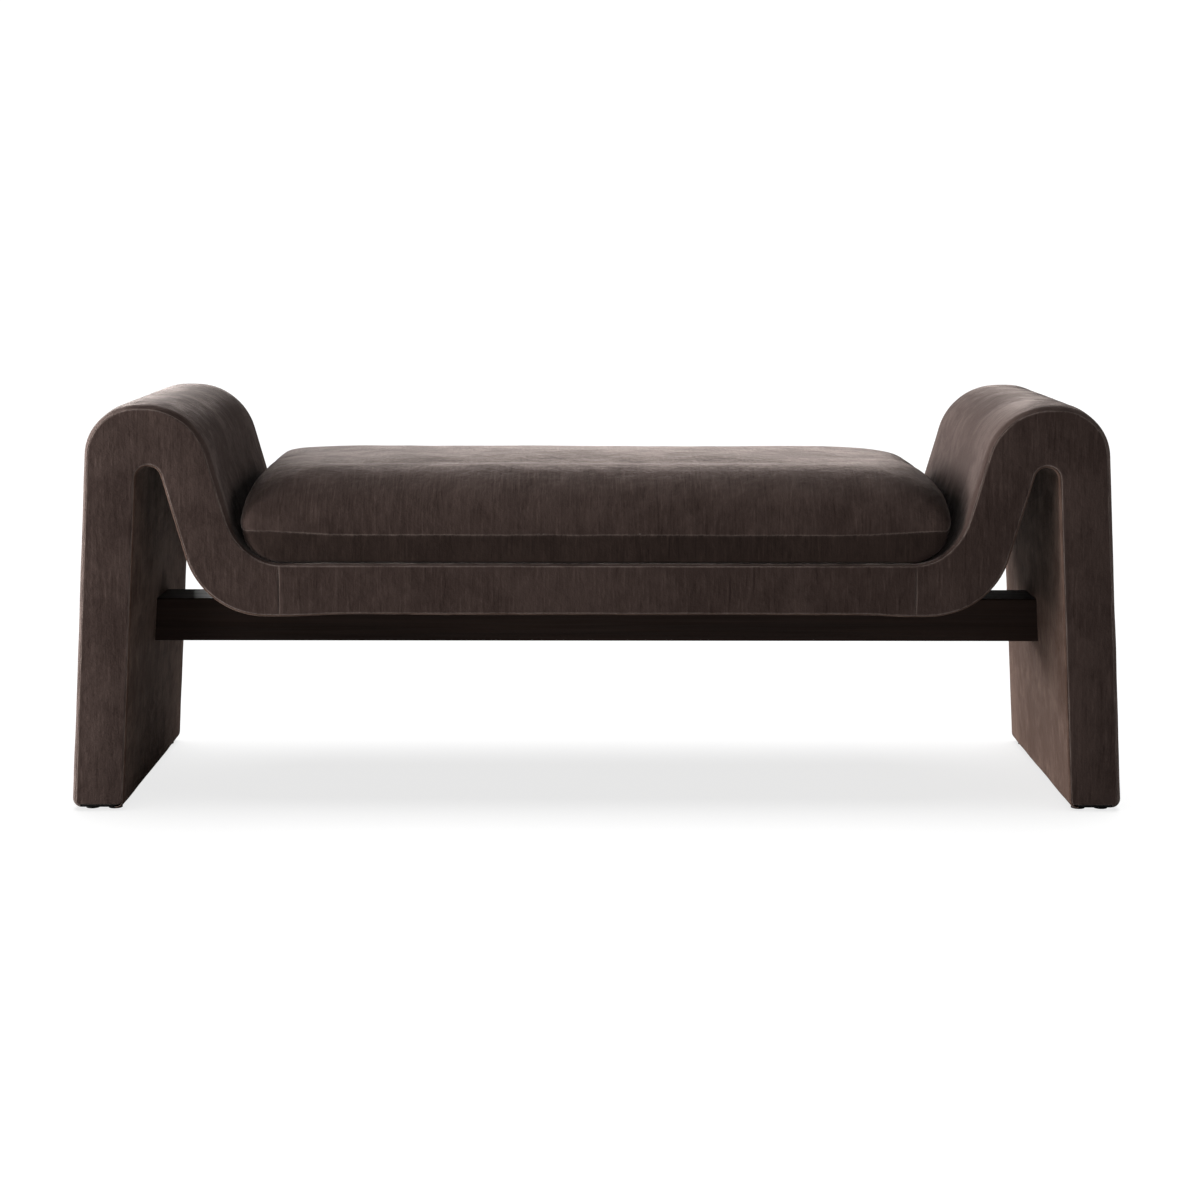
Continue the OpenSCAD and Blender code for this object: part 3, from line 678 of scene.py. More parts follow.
class Mesh:
    """A mesh that grows by rows, with a value at each point that tells how near a seam it is."""

    def __init__(self, bm: bmesh.types.BMesh | None = None) -> None:
        """Starts a mesh.

        Args:
            bm: The mesh to take over, or none for an empty one.
        """
        self.bm = bmesh.new() if bm is None else bm
        floats = self.bm.verts.layers.float
        # The seam nearness is also the mask that the velvets use to paint a highlight along the
        # seams.
        self.seam = floats.get("seam") or floats.new("seam")

    def rows(self, rows: Sequence[Row], closed: bool = False) -> "Mesh":
        """Draws an edge chain on from row to row.

        Args:
            rows: Points of each row with the row's nearness to a seam.
            closed: Whether each row is a ring.

        Returns:
            This mesh.
        """
        first, near = rows[0]
        chain = [self.bm.verts.new(p) for p in first]
        for vert in chain:
            vert[self.seam] = near
        pairs = list(zip(chain, chain[1:])) + ([(chain[-1], chain[0])] if closed else [])
        edges = [self.bm.edges.new(pair) for pair in pairs]
        order = {vert: k for k, vert in enumerate(chain)}
        for points, near in rows[1:]:
            made = bmesh.ops.extrude_edge_only(self.bm, edges=edges)["geom"]
            edges = [g for g in made if isinstance(g, bmesh.types.BMEdge)
                     and all(v not in order for v in g.verts)]
            fresh = {}
            for vert in (g for g in made if isinstance(g, bmesh.types.BMVert)):
                ends = (edge.other_vert(vert) for edge in vert.link_edges)
                fresh[vert] = next(order[end] for end in ends if end in order)
                vert.co = points[fresh[vert]]
                vert[self.seam] = near
            order = fresh
        return self

    def cut(self, place: Vector, way: Vector, clear: bool = False) -> None:
        """Cuts the mesh by a plane.

        Args:
            place: A point of the plane.
            way: The plane's normal.
            clear: Whether all that lies beyond the plane goes.
        """
        geometry = self.bm.verts[:] + self.bm.edges[:] + self.bm.faces[:]
        bmesh.ops.bisect_plane(self.bm, geom=geometry, plane_co=place, plane_no=way,
                               clear_outer=clear, dist=CUT_DISTANCE)

    def face_out(self, place: Vector, way: Vector) -> "Mesh":
        """Turns all faces over if the one nearest a place looks away from a way.

        Args:
            place: Where the test is made.
            way: The outward way there.

        Returns:
            This mesh.
        """
        self.bm.normal_update()
        nearest = min(self.bm.faces, key=lambda f: (f.calc_center_median() - place).length)
        if nearest.normal.dot(way) < 0:
            bmesh.ops.reverse_faces(self.bm, faces=self.bm.faces[:])
        return self

    def moved(self, offset: Callable[[Vector, Vector, float], Vector]) -> "Mesh":
        """Moves every point.

        Args:
            offset: Gives the step from the point's place, normal and nearness to a seam.

        Returns:
            This mesh.
        """
        self.bm.normal_update()
        steps = [(v, offset(v.co, v.normal, v[self.seam])) for v in self.bm.verts]
        for vert, step in steps:
            vert.co += step
        return self

    def piece(self, name: str, material: bpy.types.Material) -> bpy.types.Object:
        """Makes the object.

        Args:
            name: The piece's name.
            material: Its finish.

        Returns:
            The object, shaded smooth.
        """
        mesh = bpy.data.meshes.new(name)
        self.bm.to_mesh(mesh)
        self.bm.free()
        mesh.materials.append(material)
        mesh.shade_smooth()
        return linked(name, mesh)


@dataclass(frozen=True)
class Pad:
    """A fuller place in a leg's padding: its height in millimetres, its level and its spread."""

    full: float
    level: float
    spread: float
    from_x: float

    def at(self, place: Vector) -> float:
        """Returns how far the padding stands out at a place."""
        return self.full * bell(place.z - self.level, self.spread)


@dataclass
class Slab:
    """The padded slab in its velvet: two covers, six side panels and two foot covers."""

    outline: Outline = field(default_factory=Outline)
    depth: float = 0.457
    edge_round: float = 0.0130
    seam_in: float = 0.0062
    trough_round: float = 0.0050
    trough_seam_in: float = 0.0030
    seam_dip: float = 0.0010
    join_dip: float = 0.0005
    seam_x: float = 0.4565
    cloth: float = 1.5 * MM
    pillow: float = 1.2 * MM
    fill: float = 0.9
    roll_steps: int = 7
    roll_power: float = 1.15
    across_steps: int = 48
    fill_steps: int = 9
    sole_steps: int = 10
    lip: tuple[float, float, float] = (0.5 * MM, 0.7 * MM, 0.75)
    swells: tuple[Swell, ...] = ((0.55, 0.11, 0.0), (0.35, 0.045, 4.0), (0.12, 0.016, 9.0))
    calm_x: float = 0.55
    calm_least: float = 0.15
    calm_height: float = 0.03
    full_x: float = 0.5
    full_fade: float = 0.05
    inner_top: float = 0.52
    inner_pad: Pad = Pad(3.6, 0.28, 0.18, 0.62)
    outer_pad: Pad = Pad(2.8, 0.21, 0.09, 0.66)
    shoulder_z: float = 0.5
    shoulder_full: float = 2.6
    drawn_up: float = 2.2
    drawn_x: float = 0.405
    drawn_fade: float = 0.012
    hang: float = 1.0
    hang_x: float = 0.455
    hang_spread: float = 0.035
    sag_height: float = 0.03
    seam_steps: tuple[tuple[float, float, float], ...] = (
        (0.0, 1.0, 1.0), (0.5, 0.45, 0.95), (1.3, 0.12, 0.25), (2.6, 0.0, 0.0), (5.0, 0.0, 0.0),
    )
    join_cuts: tuple[float, ...] = (0.0, 0.5, 1.3, 2.8, 6.0)
    sole_cuts: tuple[float, ...] = (0.6, 1.5, 3.2)
    weld: float = 0.02 * MM
    join_near: float = 0.9
    near_width: float = 1.1
    dip_width: float = 0.9

    def section(self, r: float, seam_in: float) -> list[tuple[float, float, float]]:
        """Returns the section of a cover from the front seam to the rear one.

        Args:
            r: Radius of the rounded edge.
            seam_in: Inset of the seam.

        Returns:
            Insets, places across the depth and nearness to a seam.
        """
        side = self.depth / 2
        last = math.acos(1 - seam_in / r)
        lip_in, lip_dip, lip_near = self.lip
        roll = [(seam_in, side - self.seam_dip, 1.0), (seam_in - lip_in, side - lip_dip, lip_near)]
        for k in range(1, self.roll_steps + 1):
            angle = last * (1 - k / self.roll_steps) ** self.roll_power
            roll.append((r * (1 - math.cos(angle)), side - r + r * math.sin(angle), 0.0))
        flat = [(0.0, (side - self.edge_round) * (1 - 2 * k / self.across_steps), 0.0)
                for k in range(1, self.across_steps)]
        return [(inset, -y, near) for inset, y, near in roll + flat] + roll[::-1]

    def trough_shares(self, outer: bool) -> list[float]:
        """Returns, for each point of a half line, how far it belongs to the trough.

        Args:
            outer: Whether it is the outer line.

        Returns:
            The shares, all 1 for the under line.
        """
        line = self.outline.half(outer, 0.0)
        if not outer:
            return [1.0] * len(line)
        top = max(range(len(line)), key=lambda k: line[k].y)
        return [self.outline.trough_share(p) if k < top else 0.0 for k, p in enumerate(line)]

    def blended(self, outer: bool, insets: tuple[float, float],
                foot_inset: float | None = None) -> list[Vector]:
        """Returns a half line whose inset differs in the trough.

        Args:
            outer: Whether it is the outer line.
            insets: The inset on the shoulders and legs, and the one in the trough.
            foot_inset: The inset under the foot, if it differs.

        Returns:
            The points.
        """
        away, near = (self.outline.half(outer, inset, foot_inset) for inset in insets)
        return [a.lerp(b, t) for a, b, t in zip(away, near, self.trough_shares(outer))]

    def fullness(self, place: Vector, normal: Vector) -> float:
        """Returns how far the padding stands out between the front and the rear edge.

        Args:
            place: The point.
            normal: Its normal.

        Returns:
            The height over the plain outline, in millimetres.
        """
        if abs(place.x) < self.full_x:
            return 0.0
        deep = eased((self.depth / 2 - abs(place.y)) / self.full_fade)
        inner = normal.x * place.x < 0 and abs(place.x) > self.inner_pad.from_x
        if inner and place.z < self.inner_top:
            return deep * self.inner_pad.at(place)
        if place.z > self.shoulder_z:
            return deep * self.shoulder_full * held((place.z - self.shoulder_z) / self.full_fade)
        return deep * self.outer_pad.at(place) if place.x > self.outer_pad.from_x else 0.0

    def sag(self, place: Vector) -> float:
        """Returns how far the underside is drawn up in its middle and hangs fuller beside that.

        Args:
            place: The point.

        Returns:
            The rise in metres.
        """
        x, share = abs(place.x), 1 - (place.z - self.outline.bottom) / self.sag_height
        middle = 1 / (1 + math.exp((x - self.drawn_x) / self.drawn_fade))
        fuller = bell(x - self.hang_x, self.hang_spread)
        return (self.drawn_up * middle - self.hang * fuller) * MM * max(0.0, share)

    def settled(self, place: Vector, normal: Vector, near: float) -> Vector:
        """Gives the padding its unevenness and fullness, with none at a seam, and its sag.

        Args:
            place: The point.
            normal: Its normal.
            near: Its nearness to a seam.

        Returns:
            How far the point moves.
        """
        rise = self.calm_least + abs(place.z - self.outline.seat) / self.calm_height
        calm = min(1.0, rise) if abs(place.x) < self.calm_x else 1.0
        height = drift(place, self.swells) * calm + self.fullness(place, normal)
        return normal * height * MM * (1 - near) + Vector((0.0, 0.0, self.sag(place)))

    def cover(self, outer: bool) -> Mesh:
        """Draws a cover along a line of the outline.

        Args:
            outer: Whether it is the outer line.

        Returns:
            The mesh.
        """
        shares = self.trough_shares(outer)
        rows = []
        sections = zip(self.section(self.edge_round, self.seam_in),
                       self.section(self.trough_round, self.trough_seam_in))
        for (inset, y, near), (low_inset, low_y, _) in sections:
            line = self.blended(outer, (inset, low_inset))
            places = [Vector((p.x, y + (low_y - y) * t, p.y)) for p, t in zip(line, shares)]
            rows.append((self.outline.whole(places), near))
        return Mesh().rows(rows)

    def side_rows(self) -> list[Row]:
        """Draws the whole front face.

        Returns:
            The rows of the front panels, from the outer seam to the under seam.
        """
        outer: list[Row] = []
        under: list[Row] = []
        for rows in (outer, under):
            for inset, dip, near in self.seam_steps:
                insets = (self.seam_in + inset * MM, self.trough_seam_in + inset * MM)
                line = self.outline.whole(self.blended(rows is outer, insets, self.seam_in))
                y = self.seam_dip * dip - self.depth / 2
                rows.append(([Vector((p.x, y, p.y)) for p in line], near))
        middle = []
        for k in range(1, self.fill_steps):
            share = k / self.fill_steps
            bulge = Vector((0.0, self.pillow * (1 - (2 * share - 1) ** 2), 0.0))
            pairs = zip(outer[-1][0], under[-1][0])
            middle.append(([a.lerp(b, share) - bulge for a, b in pairs], 0.0))
        return outer + middle + under[::-1]

    def side_panel(self, left: float, right: float, rear: bool) -> Mesh:
        """Cuts one side panel from the whole face.

        Args:
            left: Where it starts along the bench.
            right: Where it ends.
            rear: Whether it is on the rear face.

        Returns:
            The mesh.
        """
        made = Mesh().rows(self.side_rows())
        bm, side = made.bm, self.depth / 2
        seams = [x for x in (left, right) if abs(x) < self.outline.width / 2]
        for x in seams:
            way = 1.0 if x == left else -1.0
            for step in self.join_cuts:
                made.cut(Vector((x + way * step * MM, 0, 0)), Vector((-way, 0, 0)), step == 0.0)
        sole = self.outline.foot_z + self.seam_in
        for step in self.sole_cuts:
            made.cut(Vector((0, 0, sole + step * MM)), Vector((0, 0, 1)))
        bmesh.ops.remove_doubles(bm, verts=bm.verts[:], dist=self.weld)
        for vert in bm.verts:
            gaps = [(abs(vert.co.x - x) / MM, self.join_dip) for x in seams]
            for gap, dip in gaps + [(abs(vert.co.z - sole) / MM, self.seam_dip)]:
                near = self.join_near * bell(gap, self.near_width)
                vert[made.seam] = max(vert[made.seam], near)
                vert.co.y += (dip - side - vert.co.y) * bell(gap, self.dip_width)
        if rear:
            bmesh.ops.scale(bm, vec=Vector((1, -1, 1)), verts=bm.verts[:])
        x = (max(left, -self.seam_x) + min(right, self.seam_x)) / 2
        way = 1 if rear else -1
        place = Vector((x, way * side, (self.outline.seat + self.outline.bottom) / 2))
        return made.face_out(place, Vector((0, way, 0))).moved(self.settled)

    def foot_cover(self, mirrored: bool) -> Mesh:
        """Draws the cover under a foot.

        Args:
            mirrored: Whether it is the left foot's.

        Returns:
            The mesh.
        """
        outline = self.outline
        outer, inner = (outline.half(side, 0.0)[-1].x for side in (True, False))
        rows = []
        for inset, y, near in self.section(self.edge_round, self.seam_in):
            z = outline.foot_z + inset
            line = [Vector((inner + (outer - inner) * k / self.sole_steps, y, z))
                    for k in range(self.sole_steps + 1)]
            rows.append((line, near))
        made = Mesh().rows(rows)
        if mirrored:
            bmesh.ops.scale(made.bm, vec=Vector((-1, 1, 1)), verts=made.bm.verts[:])
        middle = (outer + inner) / 2 * (-1 if mirrored else 1)
        return made.face_out(Vector((middle, 0, outline.foot_z)), Vector((0, 0, -1)))

    def dress(self, mesh: Mesh, name: str, material: bpy.types.Material, slot: str,
              nodes: Sequence[str]) -> bpy.types.Object:
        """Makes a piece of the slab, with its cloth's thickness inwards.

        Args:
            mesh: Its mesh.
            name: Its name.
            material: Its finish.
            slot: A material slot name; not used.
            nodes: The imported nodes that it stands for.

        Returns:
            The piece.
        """
        piece = mesh.piece(name, material)
        wall = piece.modifiers.new("Cloth thickness", "SOLIDIFY")
        wall.thickness = self.cloth
        wall.offset = -1.0
        return padded(piece, "bench", nodes)

    def build(self, finishes: Materials) -> list[bpy.types.Object]:
        """Builds and dresses the slab.

        Args:
            finishes: The materials by name.

        Returns:
            The pieces.
        """
        outline, made = self.outline, []
        sides = ("left", "right")
        for name, z, way, slot, nodes in (
            ("outer", outline.seat, 1, "velvet", [
                "outer_cover", *(f"{side}_leg_foam" for side in sides),
                *(f"{side}_shoulder_foam" for side in sides), "seat_foam",
            ]),
            ("under", outline.bottom, -1, "under_velvet", [
                "under_cover", *(f"{side}_inner_leg_foam" for side in sides),
                *(f"{side}_arch_foam" for side in sides), "underside_foam",
            ]),
        ):
            cover = self.cover(name == "outer")
            cover.face_out(Vector((0, 0, z)), Vector((0, 0, way))).moved(self.settled)
            made.append(self.dress(cover, f"{name}_velvet", finishes[name], slot, nodes))
        far, join = outline.width, self.seam_x
        spans = {"left": (-far, -join), "middle": (-join, join), "right": (join, far)}
        for face in ("front", "rear"):
            for part, (left, right) in spans.items():
                nodes = [f"{face}_{part}_panel"]
                nodes += [f"{face}_foam", f"{face}_edge_roll"] if part == "middle" else []
                panel = self.side_panel(left, right, face == "rear")
                name = f"{face}_{part}_velvet"
                made.append(self.dress(panel, name, finishes["side"], "velvet", nodes))
        for side in ("right", "left"):
            sole, name = self.foot_cover(side == "left"), f"{side}_sole_cloth"
            nodes = [f"{side}_foot_cover"]
            made.append(self.dress(sole, name, finishes["sole"], "bottom_cloth", nodes))
        return made


@dataclass
class Cushion:
    """The loose seat cushion: a crowned form with a seam all round, swollen as cloth."""

    outline: Outline = field(default_factory=Outline)
    slab: Slab = field(default_factory=Slab)
    front: float = 0.2275
    rear: float = 0.2205
    half: float = 0.5103
    off_centre: float = -0.0027
    base: float = 0.3637
    rim: float = 0.3592
    seam: float = 0.4020
    widest: float = 0.4086
    top: float = 0.5008
    crown: float = 0.0075
    low_round: float = 0.0617
    left_roll: tuple[float, float] = (0.0302, 1.705)
    right_roll: tuple[float, float] = (0.1043, 3.039)
    corner: float = 0.0188
    top_corner: float = 0.0964
    front_roll: float = 0.120
    rear_roll: float = 0.0688
    side_rise: float = 0.088
    under_roll: float = 0.0015
    under_rise: float = 0.008
    draw_in: float = 0.002
    pinch: float = 0.002
    bulge: float = 0.016
    flat_low: float = 0.389
    flat_high: float = 0.416
    zip_half: float = 0.432
    zip_y: float = 0.19
    zip_fade: float = 0.02
    strip_end: float = 0.43
    strip_side: float = 0.19
    strip_fades: tuple[float, float] = (0.03, 0.02)
    nest: float = 0.7 * MM
    slack: float = 0.0025
    bend_share: float = 0.3
    base_shares: tuple[float, ...] = (0.9, 0.75, 0.6, 0.4, 0.2)
    crown_shares: tuple[float, ...] = (0.06, 0.12, 0.25, 0.4, 0.55, 0.7, 0.85, 0.95)
    under_steps: int = 6
    wall_steps: int = 5
    roll_steps: int = 12
    corner_steps: int = 8
    side_steps: int = 24
    voxel: float = 0.007
    quality: int = 5
    frames: int = 20
    pressure: float = 4.0
    swell_cap: float = 0.004
    inward_share: float = 0.25
    fill: float = 0.85
    lift: float = 6.5 * MM
    lift_x: tuple[float, float] = (0.34, 0.17)
    lift_y: tuple[float, float] = (0.12, 0.1)
    lift_spread: float = 0.018
    seam_cuts: tuple[float, ...] = (0.0, 0.7, -0.7, 1.8, -1.8, 4.0, -4.0)
    seam_near: float = 0.75
    near_width: float = 1.1
    groove: tuple[float, float] = (0.9, 1.3)
    pucker: tuple[float, float, float] = (1.0, 1.1, 9.0)
    pucker_turns: float = 40.0
    pucker_squash: float = 3.0
    pucker_slant: float = 0.7
    pucker_seed: float = 1.5
    swells: tuple[Swell, ...] = ((0.9, 0.13, 2.0), (0.45, 0.05, 6.0))
    calm_height: float = 0.03

    @property
    def top_edge(self) -> float:
        """Returns the height at which the crown starts."""
        return self.top - self.crown

    def end_x(self, z: float, side: int) -> float:
        """Returns the reach of an end at a height: it follows the trough, then rolls over.

        Args:
            z: The height.
            side: -1 for the left end and 1 for the right one.

        Returns:
            The distance from the cushion's middle.
        """
        low = rolled(self.low_round, (self.widest - z) / (self.widest - self.rim))
        depth, power = self.right_roll if side > 0 else self.left_roll
        share = (z - self.widest) / (self.top_edge - self.widest)
        return self.half - low - rolled(depth, share, power)

    def front_y(self, z: float) -> float:
        """Returns the reach of the front at a height.

        Args:
            z: The height.

        Returns:
            The distance from the middle of the depth.
        """
        roll = rolled(self.front_roll, (z - self.top_edge + self.side_rise) / self.side_rise)
        under = rolled(self.under_roll, (self.rim + self.under_rise - z) / self.under_rise)
        pinch = self.pinch * max(0.0, 1 - abs(z - self.seam) / self.bulge)
        return self.front - roll - under - pinch

    def rear_y(self, z: float) -> float:
        """Returns the reach of the rear at a height. It is flat behind the zip.

        Args:
            z: The height.

        Returns:
            The distance from the middle of the depth.
        """
        roll = rolled(self.rear_roll, (z - self.flat_high) / (self.top_edge - self.flat_high))
        under = rolled(2 * self.under_roll, (self.flat_low - z) / (self.flat_low - self.rim))
        return self.rear - roll - under

    def lifted(self, place: Vector) -> Vector:
        """Moves a point that is too near the slab up from it.

        Args:
            place: The point.

        Returns:
            The point, clear of the seat, of its corners and of the strips on it.
        """
        gap, way = self.outline.above_trough(abs(place.x), place.z)
        r = self.slab.trough_round
        edge = min(r, max(0.0, abs(place.y) - self.slab.depth / 2 + r))
        gap += r - math.sqrt(r * r - edge * edge)
        end, side = self.strip_fades
        strips = held((self.strip_end + end - abs(place.x)) / end)
        strips *= held((self.strip_side + side - abs(place.y)) / side)
        short = self.nest + (self.base - self.outline.seat - self.nest) * strips - gap
        if short <= 0:
            return place
        across = math.copysign(way.x, -place.x) if way.x else 0.0
        return place + Vector((across, 0.0, way.y)) * short

    def ring(self, z: float, shrink: float = 0.0, lift: float = 0.0) -> list[Vector]:
        """Returns the cushion's outline at a height, a little smaller than the finished form.

        Args:
            z: The height that gives its size.
            shrink: Share by which it is drawn together to the middle.
            lift: How far it is raised.

        Returns:
            The points of the ring.
        """
        share = max(0.0, (z - self.widest) / (self.top_edge - self.widest))
        r = self.corner + (self.top_corner - self.corner) * share ** 2 - self.slack
        ends = {side: self.end_x(z, side) - self.slack for side in (-1, 1)}
        reaches = {1: self.rear_y(z) - self.slack, -1: self.front_y(z) - self.slack}
        draw = self.draw_in * max(0.0, 1 - abs(z - self.seam) / (self.seam - self.rim))
        points = []
        for quarter, (sx, sy) in enumerate(((1, 1), (-1, 1), (-1, -1), (1, -1))):
            x, y = ends[sx], reaches[sy]
            for k in range(self.corner_steps + 1):
                angle = math.radians(90.0 * (quarter + k / self.corner_steps))
                around = r * math.cos(angle), r * math.sin(angle)
                points.append((sx * (x - r) + around[0], sy * (y - r) + around[1]))
            if quarter % 2 == 0:
                start, stop = points[-1], -sx * (ends[-sx] - r)
                for k in range(1, self.side_steps):
                    place = k / self.side_steps
                    inward = draw * 4 * place * (1 - place) if sy < 0 else 0.0
                    points.append((start[0] + (stop - start[0]) * place, start[1] - sy * inward))
        kept = 1 - shrink
        return [Vector((x * kept + self.off_centre, y * kept, z + lift)) for x, y in points]

    def rings(self) -> list[Row]:
        """Draws the form ring by ring.

        Returns:
            The rings, from the flat base to the crown.
        """
        rim, seam, top = self.rim, self.seam, self.top_edge
        low, bend = rim + self.under_rise, self.widest + self.bend_share * (top - self.widest)
        quarter = math.radians(90.0)
        heights = [rim + self.under_rise * (1 - math.cos(quarter * k / self.under_steps))
                   for k in range(self.under_steps + 1)]
        for start, stop in ((low, seam), (seam, bend)):
            heights += [start + (stop - start) * k / self.wall_steps
                        for k in range(1, self.wall_steps + 1)]
        heights += [bend + (top - bend) * math.sin(quarter * k / self.roll_steps)
                    for k in range(1, self.roll_steps + 1)]
        rings = [self.ring(rim, share, self.base - rim) for share in self.base_shares]
        for z in heights:
            rings.append(self.ring(z, 0.0, -self.slack * max(0.0, (z - seam) / (top - seam))))
        for share in self.crown_shares:
            rings.append(self.ring(top, share, self.crown * (1 - (1 - share) ** 2) - self.slack))
        return [(ring, 0.0) for ring in rings]

    def plain_form(self) -> bpy.types.Object:
        """Closes the rings to a form.

        Returns:
            The form before it swells, as an even mesh.
        """
        made = Mesh().rows(self.rings(), closed=True)
        bmesh.ops.holes_fill(made.bm, edges=made.bm.edges[:], sides=0)
        bmesh.ops.recalc_face_normals(made.bm, faces=made.bm.faces[:])
        body = made.piece("cushion_form", bpy.data.materials.new("Form"))
        even = body.modifiers.new("Even", "REMESH")
        even.mode = "VOXEL"
        even.voxel_size = self.voxel
        return self.applied(body)

    @staticmethod
    def applied(body: bpy.types.Object) -> bpy.types.Object:
        """Applies an object's modifiers.

        Args:
            body: The object.

        Returns:
            The same object.
        """
        graph = bpy.context.evaluated_depsgraph_get()
        mesh = bpy.data.meshes.new_from_object(body.evaluated_get(graph))
        body.modifiers.clear()
        body.data = mesh
        return body

    def swollen(self, body: bpy.types.Object) -> bpy.types.Object:
        """Blows the form up as cloth, and holds how far any point moves.

        Args:
            body: The plain form.

        Returns:
            The same object, swollen.
        """
        rest = [(v.co.copy(), v.normal.copy()) for v in body.data.vertices]
        cloth = body.modifiers.new("Cloth", "CLOTH")
        cloth.settings.quality = self.quality
        cloth.settings.use_pressure = True
        cloth.settings.uniform_pressure_force = self.pressure
        cloth.settings.effector_weights.gravity = 0.0
        cloth.point_cache.frame_start = 1
        cloth.point_cache.frame_end = self.frames
        for number in range(1, self.frames + 1):
            bpy.context.scene.frame_set(number)
        self.applied(body)
        bpy.context.scene.frame_set(1)
        for vert, (place, normal) in zip(body.data.vertices, rest):
            step = vert.co - place
            if step.dot(normal) < 0:
                step *= self.inward_share
            if step.length > self.swell_cap:
                step *= self.swell_cap / step.length
            vert.co = place + step
        return body

    def filled(self, body: bpy.types.Object) -> bpy.types.Object:
        """Stretches the swollen form to the cushion's full length and depth.

        Args:
            body: The swollen form.

        Returns:
            The same object.
        """
        places = [v.co for v in body.data.vertices]
        off = self.off_centre
        left, right = off - min(p.x for p in places), max(p.x for p in places) - off
        front, rear = -min(p.y for p in places), max(p.y for p in places)
        for place in places:
            place.x = off + (place.x - off) * self.half / (right if place.x > off else left)
            place.y *= self.front / front if place.y < 0 else self.rear / rear
        return body

    def fitted(self, place: Vector) -> Vector:
        """Keeps a point out of the slab and its strips, and behind the zip.

        Args:
            place: The point.

        Returns:
            The point, moved if it has to be.
        """
        made = self.lifted(place)
        zipped = made.y > self.zip_y and abs(made.x) < self.zip_half
        if made.y > self.rear or (zipped and self.flat_low < made.z < self.flat_high):
            made.y = self.rear
        return made

    def seam_lift(self, place: Vector) -> float:
        """Returns how far the front of the seam climbs towards the cushion's ends.

        Args:
            place: The point.

        Returns:
            The rise.
        """
        (start, run), (ahead, fade) = self.lift_x, self.lift_y
        share = eased((abs(place.x) - start) / run) * held((ahead - place.y) / fade)
        return self.lift * share * bell(place.z - self.seam, self.lift_spread)

    def seamed(self, body: bpy.types.Object) -> Mesh:
        """Cuts loops along the seam and draws them in, with small puckers.

        Args:
            body: The swollen form.

        Returns:
            The whole cushion, with its upper faces marked by material 1.
        """
        bm = bmesh.new()
        bm.from_mesh(body.data)
        made = Mesh(bm)
        for step in self.seam_cuts:
            made.cut(Vector((0, 0, self.seam + step * MM)), Vector((0, 0, 1)))
        for face in bm.faces:
            face.material_index = int(face.calc_center_median().z > self.seam)
        groove, groove_width = self.groove
        depth, share, width = self.pucker
        for vert in bm.verts:
            vert.co = self.fitted(vert.co)
            gap = (vert.co.z - self.seam) / MM
            zipped = vert.co.y > self.zip_y and abs(vert.co.x) < self.zip_half + self.zip_fade
            if zipped:
                vert[made.seam] = 0.0
                continue
            around = math.atan2(vert.co.y * self.pucker_squash, vert.co.x)
            turns = (around + self.pucker_slant * vert.co.x) * self.pucker_turns
            pucker = noise.noise(Vector((turns, self.pucker_seed, 0.0)))
            dip = groove * bell(gap, groove_width) + (depth + share * pucker) * bell(gap, width)
            vert.co -= Vector((vert.normal.x, vert.normal.y, 0.0)) * dip * MM
            vert[made.seam] = self.seam_near * bell(gap, self.near_width)
            calm = held((vert.co.z - self.base) / self.calm_height) * (1 - vert[made.seam])
            vert.co += vert.normal * drift(vert.co, self.swells) * MM * calm
        for vert in bm.verts:
            vert.co.z += self.seam_lift(vert.co)
        return made

    def part(self, whole: Mesh, upper: bool) -> Mesh:
        """Returns the part of the cushion above or below its seam, closed across the inside.

        Args:
            whole: The cushion.
            upper: Whether the upper part is wanted.

        Returns:
            That part.
        """
        bm = whole.bm.copy()
        drop = [f for f in bm.faces if f.material_index != int(upper)]
        bmesh.ops.delete(bm, geom=drop, context="FACES")
        rim = [e for e in bm.edges if e.is_boundary]
        for edge in rim:
            edge.smooth = False
        bmesh.ops.holes_fill(bm, edges=rim, sides=0)
        for face in bm.faces:
            face.material_index = 0
        return Mesh(bm)

    def build(self, finishes: Materials) -> list[bpy.types.Object]:
        """Builds and dresses the cushion.

        Args:
            finishes: The materials by name.

        Returns:
            The pieces.
        """
        body = self.plain_form()
        body = self.swollen(body)
        finer = body.modifiers.new("Finer", "SUBSURF")
        finer.levels = finer.render_levels = 1
        whole = self.seamed(self.filled(self.applied(body)))
        bpy.data.objects.remove(body)
        made = []
        for upper, name, nodes in (
            (True, "cushion_top", ["cushion_top_cover", "cushion_foam"]),
            (False, "cushion_base", ["cushion_base_cover"]),
        ):
            piece = self.part(whole, upper).piece(f"{name}_velvet", finishes[name])
            made.append(padded(piece, "cushion", nodes))
        whole.bm.free()
        return made


@dataclass
class Fittings:
    """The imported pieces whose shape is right: the frame, the beam and the small parts."""

    groups: dict[str, list[str]] = field(default_factory=lambda: {
        "ply": ["upper_skin", "under_skin", "front_rib", "rear_rib"],
        "pine": ["left_leg_rail", "right_leg_rail", "left_slope_rail", "right_slope_rail",
                 "seat_rails", "left_beam_block", "right_beam_block", "left_foot_board",
                 "right_foot_board"],
        "beam": ["stretcher_beam"],
        "felt": ["bearing_strip"],
        "steel": ["beam_bolts", "bolt_washers", "threaded_inserts"],
        "plastic": ["glides"],
        "hooks": ["hook_strips", "loop_strips"],
        "zip_cloth": ["zip_tape"],
        "zip_coil": ["zip_chain"],
        "zip_metal": ["zip_slider", "zip_pull"],
    })

    def dress(self, nodes: dict[str, bpy.types.Object], finishes: Materials) -> None:
        """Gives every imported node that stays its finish.

        Args:
            nodes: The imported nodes.
            finishes: The materials by name.
        """
        for finish, names in self.groups.items():
            for name in names:
                slots = nodes[name].data.materials
                slots.clear()
                slots.append(finishes[finish])
                LOG.info("%s has the finish %s", name, finish)


